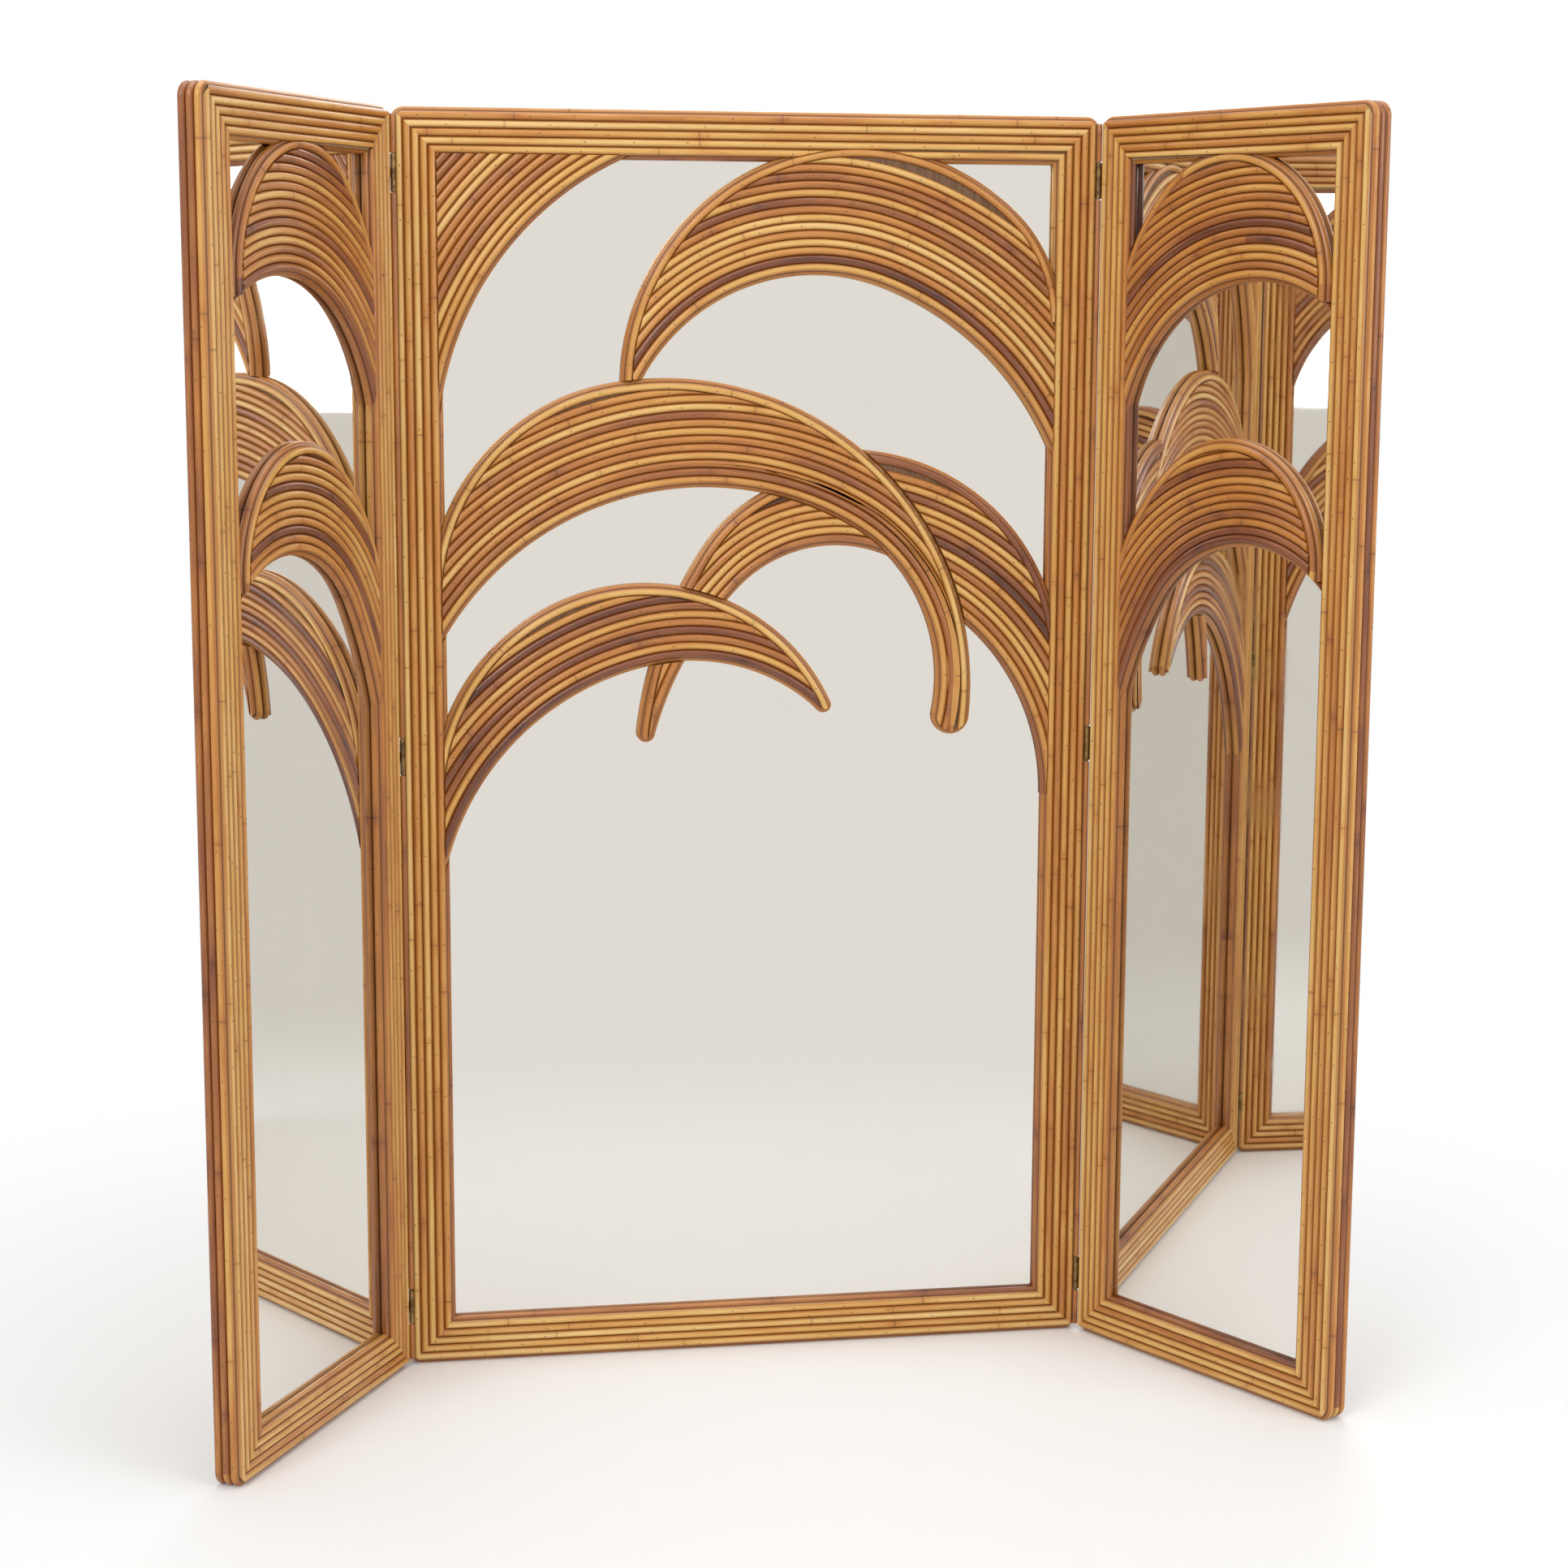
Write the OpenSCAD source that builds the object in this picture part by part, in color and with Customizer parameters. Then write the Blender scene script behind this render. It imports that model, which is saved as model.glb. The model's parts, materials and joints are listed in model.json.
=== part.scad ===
// Three-panel folding mirror screen, clad in split reed, with arched fans
// of reed laid over the glass. The two wings fold forward on pin hinges
// and can close flat over the centre panel.
// The centre panel faces -Y, Z is up and the floor is at zero.

/* [Panels] */
// Width of the centre panel's frame, board edge to board edge
centre_w = 1000; // [860:10:1200]
// Height of every panel's frame
panel_h = 1800; // [1600:10:2000]
// Gap left between the two wings when both are closed over the centre
closed_gap = 4.5; // [2:0.5:10]
// Radius of the frames' outer corners
corner_r = 15; // [12:1:22]

/* [Reeds] */
// Pitch of the split reeds
reed_w = 11.5; // [10:0.5:12.5]
// Gap between neighbouring reeds
reed_gap = 0.2; // [0.1:0.05:0.4]
// Reeds side by side on the face of each frame member
frame_reeds = 5; // [4:1:6]
// Reeds side by side on the panels' outer edges
edge_reeds = 3; // [3:1:4]
// How much the reeds under the bottom edge are planed flat
foot_plane = 0.75; // [0.5:0.25:2]

/* [Glass and back] */
// Thickness of the mirror glass
mirror_t = 4; // [3:0.5:5]
// How far the glass reaches in behind the face boards
mirror_lap = 14; // [10:1:18]
// Play round the edge of the glass and the back board
glass_play = 1; // [0.5:0.1:1.5]
// Thickness of the back board
back_t = 6; // [4:0.5:8]
// Width of the battens that hold the back board in
batten_w = 12; // [8:1:20]

/* [Hinges] */
// Fold of the left wing, forward from flat
left_fold = 61; // [0:1:175]
// Fold of the right wing, forward from flat
right_fold = 60.5; // [0:0.5:175]
// Distance from a panel's edge to the hinge pin's axis
pin_side = 2; // [1.8:0.1:3]
// Gap between the reed faces when a wing is closed
face_gap = 2; // [1.5:0.1:4]
// Height of a hinge
hinge_h = 50; // [40:1:80]
// Distance from a panel's end to the middle of its end hinges
hinge_end = 85; // [70:1:200]
// Radius of the hinge knuckles
knuckle_r = 3.6; // [3.2:0.1:4]
// Radius of the hinge pins
pin_r = 2; // [1.5:0.1:2.2]
// Running clearance between pin and knuckle
pin_fit = 0.05; // [0.02:0.01:0.1]
// Thickness of a hinge leaf
leaf_t = 1.2; // [1:0.1:1.4]
// Depth of a hinge leaf behind the face board's front
leaf_w = 24; // [20:1:30]

/* [Hidden] */
$fn = 48;
// Facets of the long fan curves and of a reed in a preview
arc_fn = 180;
reed_fn = 20;

// Half a reed is a half round of this radius, and stands this high
reed_r = (reed_w - reed_gap) / 2;
// Width of a frame member, as wide as its face reeds
frame_w = frame_reeds * reed_w;
// Depth of a panel, as deep as its edge reeds
panel_d = edge_reeds * reed_w;
// Thickness of the face boards, lined by one reed along their edges
face_t = reed_w;
// Width of the frame members behind their face boards
body_w = frame_w - mirror_lap - glass_play;
// Board edge above the floor
foot_h = reed_r - foot_plane;
// Pin axis in front of the face boards
pin_front = reed_r + face_gap / 2;
// Each wing's width, so that both close over the centre
wing_w = centre_w / 2 - reed_r - closed_gap / 2;
pin_x = centre_w / 2 + pin_side;
// Overrun of cuts
over = 1;
// How far an outline is grown to take in its lining
lining_reach = reed_r + over;
// Longer than any panel, for half planes
reach = 2 * (panel_h + centre_w);
// How much further than the rim an inner curve is swept before it is trimmed
sweep_over = 25;
batten_d = panel_d - face_t - mirror_t - back_t;

// Hinge details
leaf_screw_r = 1.5;
leaf_screw_head_r = 2.8;
leaf_screw_head_h = 1.1;
leaf_screw_l = 18;
leaf_notch_gap = 0.4;
knuckle_gap = 0.3;
pin_cap_h = 1.5;
pin_cap_r = 3;
leaf_mortise_gap = 0.3;
leaf_screw_up_share = 0.32;
leaf_screw_in_shares = [0.3, 0.72];
// Room between a gap's cover reed and what it passes, and its least distance
// from the ends of the panel
cover_gap = 0.36;
cover_end = 5;
cover_r = min(norm([pin_side + reed_w / 2, pin_front]) - reed_r,
              norm([pin_side, pin_front])) - cover_gap;

// Batten screw details
batten_screw_r = 1.5;
batten_screw_head_r = 3.5;
batten_screw_top_r = 2.4;
batten_screw_head_h = 1.6;
batten_screw_grip = 14;
screw_fit = 0.05;
batten_screw_shares = [0.16, 0.5, 0.84];
batten_screw_cross_shares = [0.2, 0.8];

// Fans. Each curve is two arcs that meet tangentially: across, down from
// the top, then the radius before the turn (anticlockwise of it) and the
// radius after it, all as shares of the panel's width.
corner_inner_shares = [0.507, 0.473, 0.458, 0.458];
top_rim_shares = [0.653, 0.379, 0.335, 0.207];
top_inner_shares = [0.593, 0.505, 0.290, 0.444];
middle_rim_shares = [0.3512, 0.6794, 0.3055, 0.444];
middle_inner_shares = [0.432, 0.952, 0.437, 0.265];
right_rim_shares = [0.641, 0.788, 0.315, 0.315];
right_inner_shares = [0.602, 0.976, 0.339, 0.339];
tail_rim_shares = [0.938, 0.941, 0.602, 0.232];
tail_inner_shares = [0.830, 1.005, 0.492, 0.202];
lower_rim_shares = [0.345, 0.9625, 0.2995, 0.296];
lower_inner_shares = [0.435, 1.154, 0.392, 0.279];
wing_upper_rim_shares = [0.682, 0.648, 0.617, 0.362];
wing_upper_inner_shares = [0.606, 0.965, 0.512, 0.512];
wing_lower_rim_shares = [0.708, 1.490, 0.644, 0.340];
wing_lower_inner_shares = [1.162, 1.986, 1.096, 0.417];

// A fan: inner curve, its turn, rim curve, its turn, the side that butts on
// a stile, its depth as a share of the panel's width, then the directions
// between which its rim reed runs
top_fan = [top_inner_shares, 69.5, top_rim_shares, 47, "right", 0.155, 197, 0];
middle_fan = [middle_inner_shares, 61, middle_rim_shares, 101, "left", 0.135, 180, -19];
right_fan = [right_inner_shares, 60, right_rim_shares, 60, "right", 0.145, 120, 0];
tail_fan = [tail_inner_shares, 135.5, tail_rim_shares, 147, "none", 0.09, 207, 87];
lower_fan = [lower_inner_shares, 102, lower_rim_shares, 90, "left", 0.1, 180, 0];
wing_upper_fan = [wing_upper_inner_shares, 100, wing_upper_rim_shares, 136.5,
                  "both", 0.32, 180, 0];
wing_lower_fan = [wing_lower_inner_shares, 146, wing_lower_rim_shares, 128.5,
                  "both", 0.27, 180, 0];
// Directions in which three fans end in a rounded tip
middle_tip = -5.5;
tail_tip = 173.5;
lower_tip = 25;
// Turn lost to the butt joint at each end of a tip's lining
tip_joint = 1;
// How far inside the stile's line a reed ends that meets it at a slant
slant_end = 1;

function hub_a(s, w) = [s[0] * w, panel_h - s[1] * w];
function hub_b(s, w, turn) =
    hub_a(s, w) + (s[2] - s[3]) * w * [cos(turn), sin(turn)];
// Distance from p along direction t to the far side of circle c, r
function ray(p, t, c, r) =
    let (d = [cos(t), sin(t)], q = c - p, b = q * d)
    b + sqrt(b * b - q * q + r * r);
// Direction of that far point, seen from the circle's middle
function far_turn(p, t, c, r) =
    let (e = p + ray(p, t, c, r) * [cos(t), sin(t)] - c) atan2(e[1], e[0]);
// The same, less the joint between a tip's round and a lining along that circle
function lining_turn(p, t, c, r) =
    far_turn(p, t, c, r)
    + 180 / PI * (reed_r * abs(sin(far_turn(p, t, c, r) - t)) + reed_gap) / r;
function fan_rows_of(f, w) = ceil(f[5] * w / reed_w);
// Directions in which a reed at radius r about c has come to the left and the
// right stile with its whole width
function left_turn(c, r, w) =
    c[0] - r > frame_w ? 180 : 180 - acos((c[0] - frame_w - slant_end) / r);
function right_turn(c, r, w) =
    c[0] + r < w - frame_w ? 0 : acos((w - frame_w - slant_end - c[0]) / r);

// Shared shapes

module half_disc(r = reed_r) {
    intersection() {
        circle(r, $fn = reed_fn);
        translate([0, -r]) square([r, 2 * r]);
    }
}

// Half round along +Y, bulging to +X
module side_rod(l) {
    rotate([-90, 0, 0]) linear_extrude(l) half_disc();
}

// Half round along +Y, bulging to +Z
module face_rod(l) {
    rotate([0, -90, 0]) side_rod(l);
}

module rounded_panel(w) {
    difference() {
        square([w, panel_h]);
        for (x = [0, 1], y = [0, 1])
            translate([x * w, y * panel_h])
                mirror([x, 0]) mirror([0, y])
                    difference() {
                        translate([-over, -over])
                            square(corner_r + over);
                        translate([corner_r, corner_r])
                            circle(corner_r);
                    }
    }
}

// One mitred member of a frame, between two insets from the edge
module member(w, side, t0, t1) {
    h = panel_h;
    if (side == "left")
        polygon([[t0, t0], [t0, h - t0], [t1, h - t1], [t1, t1]]);
    if (side == "right")
        polygon([[w - t0, t0], [w - t0, h - t0], [w - t1, h - t1], [w - t1, t1]]);
    if (side == "top")
        polygon([[t0, h - t0], [w - t0, h - t0], [w - t1, h - t1], [t1, h - t1]]);
    if (side == "bottom")
        polygon([[t0, t0], [w - t0, t0], [w - t1, t1], [t1, t1]]);
}

// Fan outlines

module half_plane(p, turn, up) {
    translate(p) rotate(turn)
        translate([-reach, up ? 0 : -reach]) square([2 * reach, reach]);
}

// All that lies inside a two-arc curve
module arch(s, turn, w, grow = 0) {
    intersection() {
        translate(hub_a(s, w)) circle(s[2] * w + grow, $fn = arc_fn);
        half_plane(hub_a(s, w), turn, true);
    }
    intersection() {
        translate(hub_b(s, w, turn)) circle(s[3] * w + grow, $fn = arc_fn);
        half_plane(hub_a(s, w), turn, false);
    }
}

module block(x0, y0, x1, y1) {
    translate([x0, y0]) square([x1 - x0, y1 - y0]);
}

// Where a fan runs on past its rim curve to the stiles
module fan_base(f, w, grow = 0, inset = 0) {
    low_a = hub_a(f[0], w);
    low_b = hub_b(f[0], w, f[1]);
    high_a = hub_a(f[2], w);
    high_b = hub_b(f[2], w, f[3]);
    if (f[4] == "left" || f[4] == "both")
        block(frame_w, low_a[1], high_a[0], high_a[1]);
    if (f[4] == "right")
        block(high_b[0], low_b[1], w - frame_w, high_b[1]);
    if (f[4] == "both")
        block(high_b[0], low_b[1], high_b[0] + f[2][3] * w + grow - inset, high_b[1]);
}

module window(w, top) {
    block(frame_w, 0, w - frame_w, top);
}

// A fan's outline, grown by its lining where asked
module fan_area(f, w, grow = 0) {
    difference() {
        intersection() {
            union() {
                arch(f[2], f[3], w, grow);
                fan_base(f, w, grow);
            }
            window(w, panel_h);
        }
        arch(f[0], f[1], w, -grow);
    }
}

// Everything past a tip's direction, on the side given by turned
module past_tip(p, tip, turned) {
    translate(p) rotate(tip)
        translate([0, turned ? 0 : -reach]) square([reach, reach]);
}

// Centre and radius of the round that closes a tip
function tip_gap(p, r, tip, q, s) = r - ray(p, tip, q, s);
function tip_place(p, r, tip, q, s) =
    p + (r - tip_gap(p, r, tip, q, s) / 2) * [cos(tip), sin(tip)];

module tipped(p, r, tip, q, s, turned, grow = 0) {
    difference() {
        children();
        past_tip(p, tip, turned);
    }
    translate(tip_place(p, r, tip, q, s))
        circle(tip_gap(p, r, tip, q, s) / 2 + grow);
}

// Half ring of lining round a tip
module tip_ring(p, r, tip, q, s, turned) {
    translate(tip_place(p, r, tip, q, s))
        rotate([0, 0, (turned ? tip : tip - 180) + tip_joint])
            rotate_extrude(angle = 180 - 2 * tip_joint)
                translate([tip_gap(p, r, tip, q, s) / 2, -face_t / 2])
                    half_disc();
}

// The centre panel's five fans, as outlines
module corner_area(grow = 0) {
    w = centre_w;
    hub = hub_a(corner_inner_shares, w);
    difference() {
        block(frame_w, hub[1], hub[0], panel_h - frame_w);
        arch(corner_inner_shares, 90, w, -grow);
    }
}

module top_area(grow = 0) {
    difference() {
        fan_area(top_fan, centre_w, grow);
        middle_area(reed_r);
    }
}

module middle_area(grow = 0) {
    w = centre_w;
    tipped(hub_b(middle_fan[2], w, middle_fan[3]), middle_fan[2][3] * w, middle_tip,
           hub_b(middle_fan[0], w, middle_fan[1]), middle_fan[0][3] * w, false, grow)
        fan_area(middle_fan, w, grow);
}

module right_area(grow = 0) {
    w = centre_w;
    difference() {
        fan_area(right_fan, w, grow);
        arch(middle_fan[2], middle_fan[3], w, reed_r);
    }
}

module tail_area(grow = 0) {
    w = centre_w;
    difference() {
        intersection() {
            tipped(hub_a(tail_fan[2], w), tail_fan[2][2] * w, tail_tip,
                   hub_a(tail_fan[0], w), tail_fan[0][2] * w, true, grow)
                fan_area(tail_fan, w, grow);
            arch(middle_fan[0], middle_fan[1], w, -reed_r);
        }
        lower_area(reed_r);
    }
}

module lower_area(grow = 0) {
    w = centre_w;
    tipped(hub_b(lower_fan[2], w, lower_fan[3]), lower_fan[2][3] * w, lower_tip,
           hub_b(lower_fan[0], w, lower_fan[1]), lower_fan[0][3] * w, false, grow)
        fan_area(lower_fan, w, grow);
}

// Fan reeds

// Sweeps the first child along a two-arc curve, from one direction round to
// another, and trims each arc with the second child. The reed is pieced
// where the arcs meet, with a butt joint.
module sweep(s, turn, w, start, end, grow = 0) {
    split = s[2] == s[3] ? end : turn;
    butt = 180 / PI * reed_gap / (s[3] * w + grow);
    intersection() {
        translate(hub_a(s, w)) rotate([0, 0, split])
            rotate_extrude(angle = start - split, $fn = arc_fn)
                translate([s[2] * w + grow, 0]) children(0);
        children(1);
    }
    if (split != end)
        intersection() {
            translate(hub_b(s, w, turn)) rotate([0, 0, end])
                rotate_extrude(angle = split - end - butt, $fn = arc_fn)
                    translate([s[3] * w + grow, 0]) children(0);
            children(1);
        }
}

module on_face() {
    rotate(90) half_disc();
}

module prism(z0, z1) {
    translate([0, 0, z0]) linear_extrude(z1 - z0) children();
}

// Reeds that run along the inner curve, inside the rim reed.
// The fan's own outline is the child.
module fan_rows(f, w) {
    for (k = [0 : fan_rows_of(f, w) - 1])
        sweep(f[0], f[1], w, far_ends(f)[0], far_ends(f)[1], (k + 0.5) * reed_w) {
            on_face();
            prism(-over, reed_w) intersection() {
                children();
                union() {
                    arch(f[2], f[3], w, -reed_w);
                    fan_base(f, w, 0, reed_w);
                }
            }
        }
}

// The reed that follows the rim, down to where the fan meets a stile
module fan_rim(f, w) {
    side_r = reed_w / 2 + reed_r;
    ends = [f[4] == "left" || f[4] == "both"
                ? left_turn(hub_a(f[2], w), f[2][2] * w - side_r, w) : f[6],
            f[4] == "right"
                ? right_turn(hub_b(f[2], w, f[3]), f[2][3] * w - side_r, w) : f[7]];
    sweep(f[2], f[3], w, ends[0], ends[1], -reed_w / 2) {
        on_face();
        prism(-over, reed_w) children();
    }
    if (f[4] == "both")
        intersection() {
            fan_end(f, w, -reed_w / 2) face_rod(fan_end_l(f, w));
            prism(-over, reed_w) children();
        }
}

// The straight bit by which a wing's fan ends beside the outer stile, down to
// the corner where it meets the inner curve
function fan_end_x(f, w) = hub_b(f[2], w, f[3])[0] + f[2][3] * w;
function fan_end_turn(f, w) =
    acos((fan_end_x(f, w) - hub_b(f[0], w, f[1])[0]) / (f[0][3] * w));
function fan_end_y(f, w) =
    hub_b(f[0], w, f[1])[1] + f[0][3] * w * sin(fan_end_turn(f, w));
function fan_end_l(f, w) = hub_b(f[2], w, f[3])[1] - fan_end_y(f, w) - reed_gap;

module fan_end(f, w, shift) {
    translate([fan_end_x(f, w) + shift, fan_end_y(f, w), 0]) children();
}

// The reeds that line the board's edges, inside the opening of the frame.
// The rim's lining runs between rim_ends, the inner curve's between
// inner_ends. The child is the fan's outline, grown.
module fan_lining(f, w, rim_ends, inner_ends) {
    sweep(f[2], f[3], w, rim_ends[0], rim_ends[1]) {
        translate([0, -face_t / 2]) half_disc();
        lining_space(w) children();
    }
    sweep(f[0], f[1], w, inner_ends[0], inner_ends[1]) {
        translate([0, -face_t / 2]) mirror([1, 0]) half_disc();
        lining_space(w) children();
    }
    if (f[4] == "both")
        fan_end(f, w, 0) translate([0, 0, -face_t / 2]) side_rod(fan_end_l(f, w));
}

module lining_space(w) {
    prism(-face_t - over, over) intersection() {
        children();
        window(w, panel_h - frame_w);
    }
}

// Directions between which a fan's rows are swept, well past its ends
function far_ends(f) = [f[6] + sweep_over, f[7] - sweep_over];
// Directions between which an inner curve is lined, where no tip ends it
function inner_end(f, w) =
    f[4] == "both" ? fan_end_turn(f, w) + 180 / PI * reed_gap / (f[0][3] * w)
    : right_turn(hub_b(f[0], w, f[1]), f[0][3] * w - reed_r, w);
function inner_ends(f, w) = [left_turn(hub_a(f[0], w), f[0][2] * w - reed_r, w), inner_end(f, w)];

// Panel parts, drawn face up: X across, Y up, Z to the front

// Places the drawn centre panel on the floor
module stand_centre() {
    translate([-centre_w / 2, -panel_d / 2, foot_h]) rotate([90, 0, 0]) children();
}

// Places a drawn wing, whose X runs from the hinged edge, at its fold
module stand_wing(fold) {
    translate([pin_x, -pin_front - panel_d / 2, 0]) rotate([0, 0, -fold])
        translate([pin_side, pin_front, foot_h]) rotate([90, 0, 0]) children();
}

module stand_left() {
    mirror([1, 0, 0]) stand_wing(left_fold) children();
}

module stand_right() {
    stand_wing(right_fold) children();
}

// A stile or rail. The child is what is cut out of its face board.
module frame_member(w, side) {
    intersection() {
        union() {
            prism(-face_t, 0) difference() {
                member(w, side, 0, frame_w);
                children();
            }
            difference() {
                prism(-panel_d, 0) member(w, side, 0, body_w);
                prism(-face_t, over) children();
            }
        }
        prism(-panel_d - over, over) rounded_panel(w);
    }
}

// The face reeds of one member. The child is what is cut out of them.
module member_reeds(w, side) {
    intersection() {
        for (k = [0 : frame_reeds - 1]) {
            shift = (k + 0.5) * reed_w;
            if (side == "left") translate([shift, 0, 0]) face_rod(panel_h);
            if (side == "right") translate([w - shift, 0, 0]) face_rod(panel_h);
            if (side == "top")
                translate([0, panel_h - shift, 0]) rotate([0, 0, -90]) face_rod(w);
            if (side == "bottom")
                translate([0, shift, 0]) rotate([0, 0, -90]) face_rod(w);
        }
        prism(-over, reed_w) difference() {
            intersection() {
                member(w, side, 0, frame_w);
                rounded_panel(w);
            }
            children();
        }
    }
}

// The lining of a member's inner edge. The child is what is cut out of it.
module lip(w, side) {
    intersection() {
        translate([0, 0, -face_t / 2]) {
            if (side == "left") translate([frame_w, 0, 0]) side_rod(panel_h);
            if (side == "right")
                translate([w - frame_w, panel_h, 0]) rotate([0, 0, 180]) side_rod(panel_h);
            if (side == "top")
                translate([0, panel_h - frame_w, 0]) rotate([0, 0, -90]) side_rod(w);
            if (side == "bottom")
                translate([w, frame_w, 0]) rotate([0, 0, 90]) side_rod(w);
        }
        prism(-face_t, 0) difference() {
            member(w, side, frame_w, frame_w + reed_r);
            children();
        }
    }
}

// One quarter ring of edge reed round an outer corner
module corner_rod(w, x, y) {
    translate([x ? w - corner_r : corner_r, y ? panel_h - corner_r : corner_r, 0])
        rotate([0, 0, x ? (y ? 0 : -90) : (y ? 90 : 180)])
            rotate_extrude(angle = 90) translate([corner_r, 0]) half_disc();
}

module edge_depths() {
    for (k = [0 : edge_reeds - 1])
        translate([0, 0, -(k + 0.5) * reed_w]) children();
}

// What edge reeds may fill: no further than the leaf's face at a hinged edge
module edge_zone(w, right_hinged, y0, y1) {
    far = right_hinged ? leaf_t : reed_w;
    block(-leaf_t, y0, w + far, y1);
}

// Reeds over the top edge, and down the outer edge of a wing
module top_reeds(w, right_hinged) {
    intersection() {
        edge_depths() {
            translate([w - corner_r, panel_h, 0]) rotate([0, 0, 90])
                side_rod(w - 2 * corner_r);
            corner_rod(w, false, true);
            corner_rod(w, true, true);
            if (!right_hinged)
                translate([w, corner_r, 0]) side_rod(panel_h - 2 * corner_r);
        }
        prism(-panel_d, 0) edge_zone(w, right_hinged, corner_r, panel_h + reed_w);
    }
}

// Reeds under the bottom edge, planed flat for the floor
module foot_reeds(w, right_hinged) {
    intersection() {
        edge_depths() {
            translate([corner_r, 0, 0]) rotate([0, 0, -90])
                side_rod(w - 2 * corner_r);
            corner_rod(w, false, false);
            corner_rod(w, true, false);
        }
        prism(-panel_d, 0) edge_zone(w, right_hinged, -foot_h, corner_r);
    }
}

function hinge_places() = [hinge_end, panel_h / 2, panel_h - hinge_end];

// Thin strip that faces a hinged edge, let in round the leaves
module edge_facing(x) {
    difference() {
        translate([x, corner_r, -panel_d])
            cube([leaf_t, panel_h - 2 * corner_r, panel_d]);
        for (y = hinge_places())
            translate([x - over, y - hinge_h / 2 - leaf_mortise_gap,
                       -leaf_w - leaf_mortise_gap])
                cube([leaf_t + 2 * over, hinge_h + 2 * leaf_mortise_gap,
                      leaf_w + leaf_mortise_gap + over]);
    }
}

module glass(w) {
    inset = body_w + glass_play;
    prism(-face_t - mirror_t, -face_t)
        block(inset, inset, w - inset, panel_h - inset);
}

module back_board(w) {
    inset = body_w + glass_play;
    prism(-face_t - mirror_t - back_t, -face_t - mirror_t)
        block(inset, inset, w - inset, panel_h - inset);
}

// A batten screw stands on its place with its shank along -X
module batten_screw(fit = 0) {
    rotate([0, -90, 0])
        cylinder(r = batten_screw_r + fit, h = batten_w + batten_screw_grip);
    if (fit == 0)
        rotate([0, 90, 0])
            cylinder(r1 = batten_screw_head_r, r2 = batten_screw_top_r, h = batten_screw_head_h);
}

module batten_screws(w, fit = 0) {
    inset = body_w + batten_w;
    z = -panel_d + batten_d / 2;
    for (s = batten_screw_shares) {
        translate([inset, s * panel_h, z]) batten_screw(fit);
        translate([w - inset, s * panel_h, z]) rotate([0, 0, 180]) batten_screw(fit);
    }
    for (s = batten_screw_cross_shares) {
        translate([s * w, inset, z]) rotate([0, 0, 90]) batten_screw(fit);
        translate([s * w, panel_h - inset, z]) rotate([0, 0, -90]) batten_screw(fit);
    }
}

module battens(w) {
    difference() {
        prism(-panel_d, -panel_d + batten_d)
            for (side = ["left", "right", "top", "bottom"])
                member(w, side, body_w, body_w + batten_w);
        batten_screws(w, screw_fit);
    }
}

// Hinges: origin on the pin axis, X to the wing, Z to the front

module along_pin(y0, l, r) {
    translate([0, y0, 0]) rotate([-90, 0, 0]) cylinder(r = r, h = l);
}

third = hinge_h / 3;

module leaf_strip() {
    translate([-pin_side, -hinge_h / 2, -pin_front - leaf_w])
        cube([leaf_t, hinge_h, pin_front + leaf_w]);
}

module leaf_notch(y0, l) {
    clear = knuckle_r + leaf_notch_gap;
    translate([-pin_side - over, y0, -clear]) cube([leaf_t + 2 * over, l, 2 * clear]);
}

// Leaf screws, along -X into the board's edge
module leaf_screws(fit = 0) {
    for (i = [-1, 0, 1])
        translate([-pin_side + leaf_t, i * leaf_screw_up_share * hinge_h,
                   -pin_front - leaf_screw_in_shares[i == 0 ? 1 : 0] * leaf_w])
            rotate([0, -90, 0]) {
                cylinder(r1 = leaf_screw_head_r + fit, r2 = leaf_screw_r + fit,
                         h = leaf_screw_head_h);
                cylinder(r = leaf_screw_r + fit, h = leaf_screw_l);
            }
}

module fixed_leaf() {
    difference() {
        union() {
            difference() {
                leaf_strip();
                leaf_notch(-third / 2 - knuckle_gap, third + 2 * knuckle_gap);
            }
            for (y = [-hinge_h / 2, third / 2 + knuckle_gap])
                along_pin(y, third - knuckle_gap, knuckle_r);
        }
        along_pin(-hinge_h, 2 * hinge_h, pin_r + pin_fit);
        leaf_screws(screw_fit);
    }
}

module swing_leaf() {
    mirror([1, 0, 0]) difference() {
        union() {
            difference() {
                leaf_strip();
                for (y = [-hinge_h / 2 - over, third / 2])
                    leaf_notch(y, third + over);
            }
            along_pin(-third / 2, third, knuckle_r);
        }
        along_pin(-hinge_h, 2 * hinge_h, pin_r + pin_fit);
        leaf_screws(screw_fit);
    }
}

module pin() {
    along_pin(-hinge_h / 2, hinge_h, pin_r);
    for (y = [-hinge_h / 2 - pin_cap_h, hinge_h / 2])
        along_pin(y, pin_cap_h, pin_cap_r);
}

// Places the right-hand hinges on the drawn centre panel, then both sides
module right_hinges() {
    for (y = hinge_places())
        translate([centre_w + pin_side, y, pin_front]) children();
}

// Whole reeds on the pins' line, which close the gap beside each wing
module gap_covers() {
    stop = hinge_h / 2 + pin_cap_h + cover_gap;
    lows = concat(cover_end, [for (y = hinge_places()) y + stop]);
    highs = concat([for (y = hinge_places()) y - stop], panel_h - cover_end);
    for (x = [-pin_side, centre_w + pin_side], i = [0 : len(lows) - 1])
        translate([x, 0, pin_front]) along_pin(lows[i], highs[i] - lows[i], cover_r);
}

module both_hinges() {
    right_hinges() children();
    translate([centre_w, 0, 0]) mirror([1, 0, 0]) right_hinges() children();
}

// Places the hinges on a drawn wing
module wing_hinges() {
    for (y = hinge_places())
        translate([-pin_side, y, pin_front]) children();
}

// Centre panel nodes

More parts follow.
